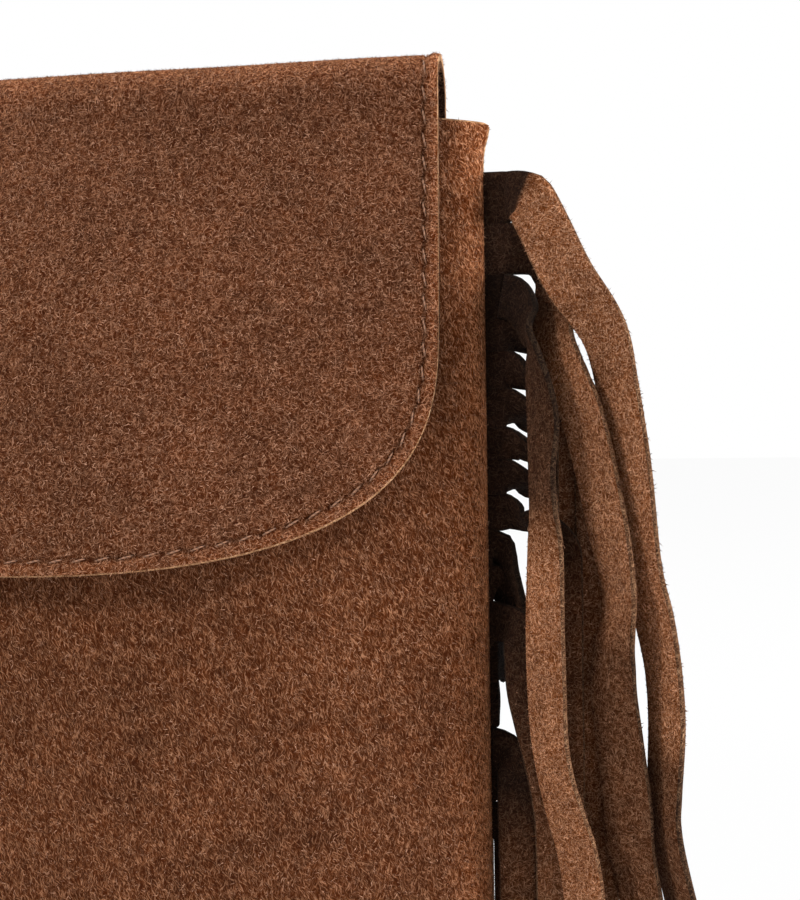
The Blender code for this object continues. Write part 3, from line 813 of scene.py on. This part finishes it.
def pouch_panel(name, node, side, materials, fibre):
    outer = panel_grid(side, 0.0)
    inner = panel_grid(side, SUEDE)
    flat = np.stack([lengths(outer, 1), lengths(outer, 0)], -1)
    part = shell(outer, inner, flat)
    # Painted highlight: the nap is painted lighter towards the side seams, where the rounded edge
    # would catch the side light
    painted_seam_light = smooth(1 - (HALF_WIDTH - np.abs(part[0][:, 0])) / SEAM_BAND)
    made = piece(name, [part], materials, 1 + SEAM_PAINTED_LIGHT * painted_seam_light)
    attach(made, "pouch")
    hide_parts(node)
    count, seed = PANEL_FIBRES
    surface = (outer[:, ::-side], np.ones(outer.shape[:2]))
    hairs = nap(name + "_nap", [surface], count, seed + side, fibre)
    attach(hairs, "pouch")


def lens(half_width, depth, z, count):
    angle = np.linspace(0, 2 * np.pi, count, endpoint=False)
    x, _ = section(angle, half_width, depth)
    sine = np.sin(angle)
    y = np.copysign(np.abs(sine) ** (2 / SECTION_POWER), sine) * depth
    return np.stack([x, y, np.full_like(x, z)], -1)


def rings(loops):
    """Closed rings joined in order, with a cap on the first and the last."""
    count = len(loops[0])
    points = np.concatenate(loops)
    faces = [tuple(range(count))]
    faces.append(tuple(range(len(points) - count, len(points))))
    for r in range(len(loops) - 1):
        for k in range(count):
            after = (k + 1) % count
            here, above = r * count, (r + 1) * count
            faces.append((here + k, here + after, above + after, above + k))
    turn = np.concatenate([np.linspace(0, LINING_FLAT[0], count, endpoint=False)] * len(loops))
    steps = [np.linalg.norm(b - a, axis=-1).mean() for a, b in zip(loops, loops[1:])]
    climb = np.cumsum([0.0] + steps)
    places = np.stack([turn, np.repeat(climb, count)], -1)
    return points, faces, [0] * len(faces), places


def base_piece(materials):
    inset = float(base_tuck(GAP)) + SUEDE + GAP
    width = HALF_WIDTH - inset
    depth = float(half_depth(np.array(GAP))) - inset
    levels = (
        (BASE_BEVEL, 0.0),
        (BASE_EASE, BASE_STEP),
        (0.0, SUEDE / 2),
        (BASE_EASE, SUEDE - BASE_STEP),
        (BASE_BEVEL, SUEDE),
    )
    loops = [lens(width - r, depth - r, z, BASE_POINTS) for r, z in levels]
    points, faces, numbers, _ = rings(loops)
    made = piece("base_suede", [(points, faces, numbers, points[:, :2])], materials)
    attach(made, "pouch")
    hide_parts("base_panel")


def lining_piece(materials):
    top = RIM_HEIGHT - RIM_CORNER_DROP - LINING_BELOW_RIM
    low = SUEDE + GAP

    def ring(z, inset):
        ease = GAP + LINING_EASE * smooth((top - z) / LINING_EASE_RISE)
        drawn_in = float(base_tuck(np.array(z))) + inset
        width = HALF_WIDTH - TONGUE - LINING_SIDE_ROOM - drawn_in
        depth = float(half_depth(np.array(z))) - SUEDE - ease - drawn_in
        points = lens(width, depth, z, LINING_POINTS)
        x, y = points[:, 0], points[:, 1]
        crease = waves(x / CREASE_WAVE[0], points[:, 2] / CREASE_WAVE[1], CREASE_SEED)
        crease = crease * smooth((top - z) / CREASE_RISE)
        points[:, 1] -= np.sign(y) * CREASE * (1 + crease) * np.abs(y / CREASE_DEPTH)
        return points

    heights = low + (top - low) * smooth(np.linspace(0, 1, LINING_RINGS))
    loops = [ring(float(z), 0.0) for z in heights]
    loops += [ring(max(float(z), low + LINING), LINING) for z in heights[::-1]]
    made = piece("lining_cloth", [rings(loops)], materials)
    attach(made, "pouch")
    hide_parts("lining")


# Flap


def near_snap(x, z):
    """How far the flap is lifted over the snap, from 0 to 1."""
    away = np.maximum(0.0, np.hypot(x, z - SNAP_HEIGHT) - SNAP_PLATEAU)
    share = np.minimum(1.0, away / SNAP_SPREAD)
    return (1 - share * share) ** 2


def flap_thickness():
    return FACING + GAP + SUEDE


def fold_radius(x):
    return MOUTH_HALF_DEPTH * bulge(x) + FLAP_EASE


def fold_centre(x):
    return CROWN_HEIGHT - fold_radius(x) - flap_thickness()


def flap_edge_height(x):
    across = np.minimum(1.0, np.abs(x) / FLAP_HALF_WIDTH)
    drop = FLAP_DROP - FLAP_CORNER_HEIGHT
    drop = drop + FLAP_CORNER_HEIGHT * (1 - across**FLAP_CORNER_POWER) ** (1 / FLAP_CORNER_POWER)
    return CROWN_HEIGHT - drop


def flap_level(face, x, z):
    """Level of a face above the flap's inside: 0 and 1 are the facing's, 2 and 3 the suede's."""
    if face < 2:
        return FACING * face
    return FACING + GAP + SNAP_WASHER_ROOM * near_snap(x, z) + SUEDE * (face - 2)


def flap_spans(x):
    """Lengths along the flap at x: the tab below the fold, the fold, and the front."""
    centre = fold_centre(x)
    return centre - (RIM_HEIGHT - TAB_BELOW_RIM), np.pi * fold_radius(x), centre - flap_edge_height(x)


def flap_point(face, x, run, lift=0.0):
    """A point of the flap at a distance along it from the tab's end, raised by lift."""
    tab, fold, _ = flap_spans(x)
    centre = fold_centre(x)
    radius = fold_radius(x)
    back = run < tab
    front = run > tab + fold
    z = np.where(back, RIM_HEIGHT - TAB_BELOW_RIM + run, centre - (run - tab - fold))
    z_front = np.minimum(z, centre)
    ease = FLAP_EASE + (SNAP_STACK - FLAP_EASE) * near_snap(x, z_front) * front
    level = np.where(front, flap_level(face, x, z_front), flap_level(face, 1.0, 1.0)) + lift
    leg = half_depth(np.minimum(z, RIM_HEIGHT)) * bulge(x) + ease + level
    angle = np.pi / 2 - (run - tab) / radius
    y = np.where(front, -leg, np.where(back, leg, (radius + level) * np.sin(angle)))
    z = np.where(front | back, z, centre + (radius + level) * np.cos(angle))
    return np.stack(np.broadcast_arrays(x, y, z), -1)


def flap_outline(inset=0.0, steps=2400):
    """The flap's cut edge, or a line inside it, as x and the run from the tab's end."""
    angle = np.linspace(0, np.pi, steps)
    x = FLAP_HALF_WIDTH * np.cos(angle)
    tab, fold, leg = flap_spans(x)
    low = np.stack([x, tab + fold + leg], -1)
    side = np.linspace(0, low[0, 1], 600)[:-1]
    right = np.stack([np.full_like(side, FLAP_HALF_WIDTH), side], -1)
    left = np.stack([np.full_like(side, -FLAP_HALF_WIDTH), side[::-1]], -1)
    line = np.concatenate([right, low, left])
    if not inset:
        return line
    along = np.gradient(line, axis=0)
    along /= np.linalg.norm(along, axis=1)[:, None] + 1e-12
    moved = line + np.stack([-along[:, 1], along[:, 0]], -1) * inset
    moved[:, 1] = np.maximum(moved[:, 1], inset)
    return moved


def edge_distance(x, run):
    """Distance on the flat flap from each point to the cut edge."""
    line = flap_outline(steps=500)
    tab_end = np.stack([np.linspace(-FLAP_HALF_WIDTH, FLAP_HALF_WIDTH, 200), np.zeros(200)], -1)
    line = np.concatenate([line, tab_end])
    best = np.full(x.shape, 1.0)
    for start in range(0, len(line), 60):
        part = line[start : start + 60]
        away = np.hypot(x[..., None] - part[:, 0], run[..., None] - part[:, 1])
        best = np.minimum(best, away.min(-1))
    return best


def stitch_places():
    """Centre and direction of each stitch on the flat flap."""
    across = np.linspace(-FLAP_HALF_WIDTH, FLAP_HALF_WIDTH, 400)[8:-8]
    tab_end = np.stack([across, np.full_like(across, STITCH_INSET)], -1)
    places = []
    for route in (flap_outline(STITCH_INSET), tab_end):
        steps = np.linalg.norm(np.diff(route, axis=0), axis=1)
        run = np.concatenate([[0], np.cumsum(steps)])
        for place in np.arange(STITCH_PITCH, run[-1] - STITCH_PITCH / 2, STITCH_PITCH):
            here = np.array([np.interp(place, run, route[:, k]) for k in (0, 1)])
            after = np.array([np.interp(place + PROBE, run, route[:, k]) for k in (0, 1)])
            along = (after - here) / np.linalg.norm(after - here)
            places.append((here, along))
    return places


def flap_pieces(suede_set, facing_set, thread, fibre):
    rows, columns = FLAP_GRID
    x = FLAP_HALF_WIDTH * np.cos(np.linspace(0, np.pi, columns))[None, :]
    tab, fold, leg = flap_spans(x)
    whole = tab + fold + leg
    share = np.linspace(0, 1, rows)[:, None]
    share = share - FLAP_ROW_CROWDING * np.sin(2 * np.pi * share)
    run = whole * share
    x = np.broadcast_to(x, run.shape)
    distance = edge_distance(x, run)
    groove = np.exp(-(((distance - STITCH_INSET) / GROOVE_WIDTH) ** 2))
    puff = np.exp(-(((distance - STITCH_INSET * PUFF_PLACE) / (STITCH_INSET * PUFF_WIDTH)) ** 2))
    relief = RIM_PUFF * puff - GROOVE_DEPTH * groove
    swell = FLAP_SWELL * waves(x / FLAP_WAVE[0], run / FLAP_WAVE[1], FLAP_WAVE_SEED)
    relief = relief + swell * smooth(distance / FLAP_SWELL_RISE)
    rim = np.exp(-((distance / (STITCH_INSET * RIM_BAND)) ** 4))
    # The rim outside the stitches is painted lighter, and the stitches' groove gets painted shade
    shades = 1 + RIM_LIGHT * rim - GROOVE_PAINTED_SHADE * groove
    # Painted highlight over the fold's crown, where light from above falls on the upturned curve
    crown = CROWN_HEIGHT - flap_point(3, x, run)[..., 2]
    shades = shades * (1 + CROWN_PAINTED_LIGHT * np.exp(-((crown / CROWN_BAND) ** 2)))
    holes = np.zeros_like(run)
    slant = math.radians(STITCH_SLANT)
    cosine, sine = math.cos(slant), math.sin(slant)
    threads = []
    for here, along in stitch_places():
        turned = np.array([along[0] * cosine - along[1] * sine, along[0] * sine + along[1] * cosine])
        threads.append(stitch(here, turned))
        for end in (-0.5, 0.5):
            hole = here + turned * STITCH_LENGTH * end
            away = np.hypot(x - hole[0], run - hole[1])
            holes = np.maximum(holes, np.exp(-((away / HOLE_RADIUS) ** 2)))
    relief = relief - HOLE_DEPTH * holes
    # Painted shade in the stitch holes
    shades = shades * (1 - HOLE_PAINTED_SHADE * holes)
    flat = np.stack([x, run], -1)
    outer = flap_point(3, x, run, relief)
    inner = flap_point(2, x, run)
    part = shell(outer, inner, flat)
    all_shades = np.ones(len(part[0]))
    all_shades[: rows * columns] = shades.ravel()
    skin = piece("flap_suede_skin", [part], suede_set, all_shades)
    coarse = [grid[::2, ::2] for grid in (flap_point(1, x, run), flap_point(0, x, run), flat)]
    under = piece("flap_facing_skin", [shell(*coarse)], facing_set)
    sewing = piece("flap_stitches", threads, [thread])
    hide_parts("flap_suede", "flap_tab_suede")
    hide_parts("flap_facing", "flap_tab_facing")
    surface = (outer[:, ::-1], 1 - GROOVE_THINNING * groove)
    hairs = nap("flap_nap", [surface], *FLAP_FIBRES, fibre)
    for made, slot in ((skin, "suede"), (under, "facing"), (sewing, "suede"), (hairs, "suede")):
        start, end = (0, HINGE_BLEND, CROWN_HEIGHT), (0, -HINGE_BLEND, CROWN_HEIGHT)
        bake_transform(made)


def stitch(here, along):
    """One thread, from hole to hole over the surface."""
    steps, sides = 10, 8
    share = np.linspace(-0.5, 0.5, steps)
    x = here[0] + along[0] * share * STITCH_LENGTH
    run = here[1] + along[1] * share * STITCH_LENGTH
    lift = THREAD_RADIUS * (1.0 - THREAD_DIVE * np.abs(share) ** 2.2) - GROOVE_DEPTH * 0.6
    middle = flap_point(3, x, run, lift)
    above = flap_point(3, x, run, lift + PROBE)
    out = above - middle
    out /= np.linalg.norm(out, axis=1)[:, None]
    ahead = np.gradient(middle, axis=0)
    ahead /= np.linalg.norm(ahead, axis=1)[:, None]
    across = np.cross(ahead, out)
    radius = THREAD_RADIUS * (1 - THREAD_TAPER * (2 * np.abs(share)) ** 6)
    loops = []
    for k in range(steps):
        angle = np.linspace(0, 2 * np.pi, sides, endpoint=False)[:, None]
        loops.append(middle[k] + radius[k] * (np.cos(angle) * across[k] + np.sin(angle) * out[k]))
    points, faces, numbers, _ = rings(loops)
    turn = np.tile(np.linspace(0, 2 * np.pi * THREAD_RADIUS, sides, endpoint=False), steps)
    return points, faces, numbers, np.stack([np.repeat(share * STITCH_LENGTH, sides), turn], -1)


# Fringe


def rooted(number, lean, run):
    """A strip's start: level from its cut, then round an arc down to the lean, as the distance
    out from the seam, behind it, and down."""
    width, cut, splay = STRIPS[number]
    radius = width / 2 + ELBOW_ROOM
    points = [(cut, 0.0, 0.0), (cut + run / 2, splay * 0.4, 0.0)]
    for step in range(ELBOW_STEPS + 1):
        angle = math.radians(lean) * step / ELBOW_STEPS
        out = cut + run + radius * math.sin(angle)
        points.append((out, splay, radius * (1 - math.cos(angle))))
    return points


def seen_route(number, root, end):
    level, lean, listed = SEEN[number]
    half = STRIPS[number][0] / 2
    start = rooted(number, lean, level)
    points = []
    for k, (out, back, drop) in enumerate(start):
        share = float(smooth((k - 1) / (len(start) - 1))) * SEEN_EASE
        back += (listed[0][1] - back) * share
        turn = listed[0][3] * share
        sag = half * (1 - math.cos(math.radians(turn)))
        points.append((out, back, root - drop - sag, turn))
    for out, back, share, turn in listed:
        points.append((out, back, root + (end - root) * share, turn))
    return points


def hanging_route(number, root, end):
    out, back, turn = HANGING[number]
    width, cut, splay = STRIPS[number]
    if number in SLACK:
        points = [(cut / 3, 0.0, root, 0.0)]
        for away, drop, lean in SLACK_ROUTE:
            share = float(smooth(drop / SLACK_ROUTE[-1][1]))
            points.append((away, splay + (back - splay) * share, root - drop, lean))
        low = points[-1][2]
        points.append((out * 0.9, back, low - SLACK_STEPS[0], turn))
        points.append((out, back, low - SLACK_STEPS[1], turn))
        points.append((out, back, end, turn))
        return points
    radius = width / 2 + ELBOW_ROOM
    start = rooted(number, KNEE_LEAN, min(HANGING_RUN, out - cut - radius))
    points = []
    for (k, (away, aside, drop)), claw in zip(enumerate(start), CLAW_TURNS):
        share = float(smooth((k - 1) / (len(start) - 1))) * HANGING_EASE
        claw = 0.0 if number in LEVEL else claw
        sag = width / 2 * (1 - math.cos(math.radians(claw)))
        points.append((away, aside + (back - aside) * share, root - drop - sag, claw))
    lean = math.radians(KNEE_LEAN)
    slope = max(0.0, out - points[-1][0] - radius * (1 - math.sin(lean)))
    knee = points[-1][0] + slope
    low = points[-1][2] - slope / math.tan(math.pi / 2 - lean)
    if slope > radius / 4:
        points.append((knee, back * 0.9, low, 0.0))
    for angle in (math.radians(KNEE_LEAN + 90) / 2, math.pi / 2):
        away = knee + radius * (math.sin(angle) - math.sin(lean))
        drop = radius * (math.cos(lean) - math.cos(angle))
        points.append((away, back, low - drop, turn / 2))
    points.append((out, back, low - 2 * radius, turn))
    points.append((out, back, (low + end) / 2, turn))
    points.append((out, back, end, turn))
    return points


def tucked_route(number, root, end):
    begin, run = TUCKED_SPREAD
    points = []
    for out, back, drop, turn in TUCKED_ROUTE:
        off = TUCKED[number] * float(smooth((back - begin) / run))
        facing = math.radians(turn)
        out, back = out - off * math.sin(facing), back - off * math.cos(facing)
        points.append((out, back, root - drop, turn))
    points.append((*points[-1][:2], end, points[-1][3]))
    return points


def strip_route(number, root):
    """A strip's points from its sewn tongue to its end, as out, back, height and turn."""
    end = END_HEIGHT + END_UNEVEN * math.sin(2.4 * number)
    tongue = [(-TONGUE, 0.0, root, 0.0), (-TONGUE / 2, 0.0, root, 0.0)]
    if number in SEEN:
        return tongue + seen_route(number, root, end)
    if number in HANGING:
        return tongue + hanging_route(number, root, end)
    return tongue + tucked_route(number, root, end)


def strip_line(route):
    """A smooth curve through the route's points, at about even spacing."""
    points = np.array(route)
    ends = np.concatenate([[2 * points[0] - points[1]], points, [2 * points[-1] - points[-2]]])
    line = []
    for i in range(1, len(ends) - 2):
        p0, p1, p2, p3 = ends[i - 1 : i + 3]
        count = max(1, int(round(np.linalg.norm((p2 - p1)[:3]) / STRIP_SPACING)))
        t = np.linspace(0, 1, count, endpoint=False)[:, None]
        bend = (2 * p1 + (p2 - p0) * t + (2 * p0 - 5 * p1 + 4 * p2 - p3) * t**2) / 2
        line.append(bend + (3 * p1 - p0 - 3 * p2 + p3) * t**3 / 2)
    return np.concatenate(line + [points[-1:]])


def across_strip(number, ahead, turn):
    """The direction across a strip at each point of its line."""
    if number in TUCKED:
        facing = np.concatenate([np.sin(turn), np.cos(turn), np.zeros_like(turn)], -1)
        across = np.cross(ahead, facing)
        return across / np.linalg.norm(across, axis=1)[:, None]
    level = np.cross(ahead, (0, 1, 0))
    level /= np.linalg.norm(level, axis=1)[:, None]
    return level * np.cos(turn) + np.cross(ahead, level) * np.sin(turn)


def strip_part(number, root, mirror):
    """One strip with its share of the tongue: its sheet, the sheet's painted shades, its two faces,
    the painted shade at each of their rows, and its length."""
    width, cut, _ = STRIPS[number]
    line = strip_line(strip_route(number, root))
    point, turn = line[:, :3], np.radians(line[:, 3])
    ahead = np.gradient(point, axis=0)
    ahead[point[:, 0] <= cut * 0.5] = (1, 0, 0)
    ahead /= np.linalg.norm(ahead, axis=1)[:, None]
    across = across_strip(number, ahead, turn[:, None])
    normal = np.cross(ahead, across)
    run = np.concatenate([[0], np.cumsum(np.linalg.norm(np.diff(point, axis=0), axis=1))])
    free = smooth((run - TONGUE - cut) / FREE_RUN)[:, None]
    side = np.linspace(1, -1, STRIP_COLUMNS)[None, :]
    half = (width - SLIT * np.minimum(1, free * 3)) / 2
    cup_seed, sway_seed, ripple_seed = (seed + number for seed in STRIP_SEEDS)
    pick = random.Random(cup_seed)
    sway = waves(run[:, None] / SWAY_WAVE, side * 0.3, sway_seed) * STRIP_SWAY * free
    cup = (side**2 - 0.4) * pick.uniform(-STRIP_CUP, STRIP_CUP) * free
    ripple = waves(run[:, None] / RIPPLE_WAVE, side * 0.9, ripple_seed) * STRIP_RIPPLE * free
    middle = point[:, None] + across[:, None] * (half * side + sway)[..., None]
    rise = (cup + ripple)[..., None] * normal[:, None]
    outer = middle + rise + normal[:, None] * SUEDE / 2
    inner = middle + rise - normal[:, None] * SUEDE / 2
    scale = np.array([mirror, 1, 1])
    shift = np.array([mirror * HALF_WIDTH, 0, 0])
    across_run = half * side + STRIP_APART * number
    flat = np.stack([np.broadcast_to(run[:, None], across_run.shape), across_run], -1)
    # Painted shade along the strip: dark at the roots and where the strip lies in others' shadow
    painted_lit = np.interp(run - TONGUE - cut, *zip(*STRIP_PAINTED_SHADES.get(number, PAINTED_SHADES_BEHIND)))
    face = np.repeat(painted_lit, flat.shape[1])
    shades = np.concatenate([face, face, [painted_lit[row] for row, _ in border(*flat.shape[:2])]])
    faces = (outer * scale + shift, inner * scale + shift)
    return shell(*faces, flat, STRIP_ROUNDNESS), shades, faces, painted_lit, run[-1]


def fringe(name, node, mirror, materials, fibre):
    parts = []
    shades = []
    surfaces = []
    longest = 0.0
    top = COMB_TOP
    for number, (width, _, _) in enumerate(STRIPS):
        part, shade, faces, painted_lit, length = strip_part(number, top - width / 2, mirror)
        parts.append(part)
        shades.append(shade)
        # Fewer loose fibres where the strips carry painted shade, so that the painted dark roots stay
        # dark
        density = np.repeat(painted_lit[:, None] ** 3, faces[0].shape[1], 1)
        surfaces.append((faces[0][:, ::mirror], density))
        surfaces.append((faces[1][:, ::-mirror], density))
        longest = max(longest, length)
        top -= width
    made = piece(name, parts, materials, np.concatenate(shades))
    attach(made, "pouch")
    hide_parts(node)
    count, seed = FRINGE_FIBRES
    hairs = nap(name + "_nap", surfaces, count, seed + mirror, fibre)
    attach(hairs, "pouch")


# Stage, lights and camera


def studio():
    """A world that is white to look at and lights the bag softly."""
    n = Nodes(bpy.data.worlds.new("studio"), "Background")
    bpy.context.scene.world = n.made
    path = n.add("ShaderNodeLightPath").outputs
    through = n.math("MAXIMUM", path["Is Glossy Ray"], path["Is Transmission Ray"])
    seen = n.math("MAXIMUM", path["Is Camera Ray"], through)
    inputs = {"Value": seen, "To Min": WORLD_LIGHT, "To Max": 1.0}
    strength = n.add("ShaderNodeMapRange", inputs).outputs[0]
    n.fill(n.shader, {"Color": (1, 1, 1, 1), "Strength": strength})


def floor():
    bpy.ops.mesh.primitive_plane_add(size=FLOOR_SIZE, location=(0, 0, -FLOOR_DROP))
    made = bpy.context.object
    made.name = "floor"
    n = Nodes(bpy.data.materials.new("pale_floor"))
    n.fill(n.shader, {"Base Color": FLOOR_COLOUR, "Roughness": 0.9})
    path = n.add("ShaderNodeLightPath")
    white = n.add("ShaderNodeEmission", {"Color": (1, 1, 1, 1), "Strength": 1.0})
    share = n.math("MULTIPLY", path.outputs["Is Camera Ray"], FLOOR_WHITE)
    both = n.add("ShaderNodeMixShader", {0: share, 1: n.shader.outputs[0], 2: white.outputs[0]})
    n.fill(n.tree.nodes["Material Output"], {"Surface": both.outputs[0]})
    made.data.materials.append(n.made)


def lamp(name, place, size, power):
    light = bpy.data.lights.new(name, "AREA")
    light.shape = "DISK"
    light.size = size
    light.energy = power
    made = bpy.data.objects.new(name, light)
    made.location = place
    aim = Vector(LAMP_TARGET) - Vector(place)
    made.rotation_euler = aim.to_track_quat("-Z", "Y").to_euler()
    bpy.context.scene.collection.objects.link(made)


def camera():
    turn, tilt, roll = (math.radians(v) for v in (CAMERA_TURN, CAMERA_TILT, CAMERA_ROLL))
    level = math.cos(tilt)
    ahead = Vector((-math.sin(turn) * level, math.cos(turn) * level, math.sin(tilt)))
    right = ahead.cross(Vector((0, 0, 1))).normalized()
    up = right.cross(ahead)
    right, up = (
        right * math.cos(roll) + up * math.sin(roll),
        up * math.cos(roll) - right * math.sin(roll),
    )
    data = bpy.data.cameras.new("camera")
    data.lens = LENS
    data.sensor_width = 36
    data.clip_start = 0.01
    made = bpy.data.objects.new("camera", data)
    turned = Matrix((right, up, -ahead)).transposed().to_4x4()
    made.matrix_world = Matrix.Translation(CAMERA_PLACE) @ turned
    bpy.context.scene.collection.objects.link(made)
    bpy.context.scene.camera = made


def main():
    raw = suede("suede_raw_edge", RAW_COLOURS, CROSSED_NAP, 4)
    reverse = suede("suede_reverse", REVERSE_COLOURS, CROSSED_NAP, 5)
    panel = suede("suede_panel", PANEL_COLOURS, BRUSHED_NAP, 1)
    flap = suede("suede_flap", FLAP_COLOURS, CROSSED_NAP, 2)
    # The strips get a lighter copy of the suede, a painted highlight
    strip = suede("suede_strip", STRIP_PAINTED_LIGHT_COLOURS, CROSSED_NAP, 3)
    strip_reverse = suede("suede_strip_reverse", STRIP_REVERSE_COLOURS, CROSSED_NAP, 7)
    strip_raw = suede("suede_strip_edge", STRIP_RAW_COLOURS, CROSSED_NAP, 8)
    facing = suede("facing_leather", REVERSE_COLOURS, CROSSED_NAP, 6)
    cloth = cotton("lining_cotton")
    metal = worn_brass("snap_brass")
    thread = thread_material("stitching_thread")
    fibre = fibre_material("suede_fibre")

    pouch_panel("front_panel_suede", "front_panel", -1, [panel, reverse, raw], fibre)
    pouch_panel("back_panel_suede", "back_panel", 1, [panel, reverse, raw], fibre)
    base_piece([panel])
    lining_piece([cloth])
    flap_pieces([flap, reverse, raw], [facing, facing, facing], thread, fibre)
    fringe("fringe_right_suede", "fringe_right", 1, [strip, strip_reverse, strip_raw], fibre)
    fringe("fringe_left_suede", "fringe_left", -1, [strip, strip_reverse, strip_raw], fibre)
    for name in ("snap_socket", "snap_stud", "snap_socket_washer", "snap_stud_washer"):
        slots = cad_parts[name].data.materials
        slots.clear()
        slots.append(metal)

    studio()
    floor()
    for name, settings in LAMPS.items():
        lamp(name, *settings)
    camera()
    scene = bpy.context.scene
    scene.view_settings.view_transform = "Standard"
    bpy.context.view_layer.update()


main()
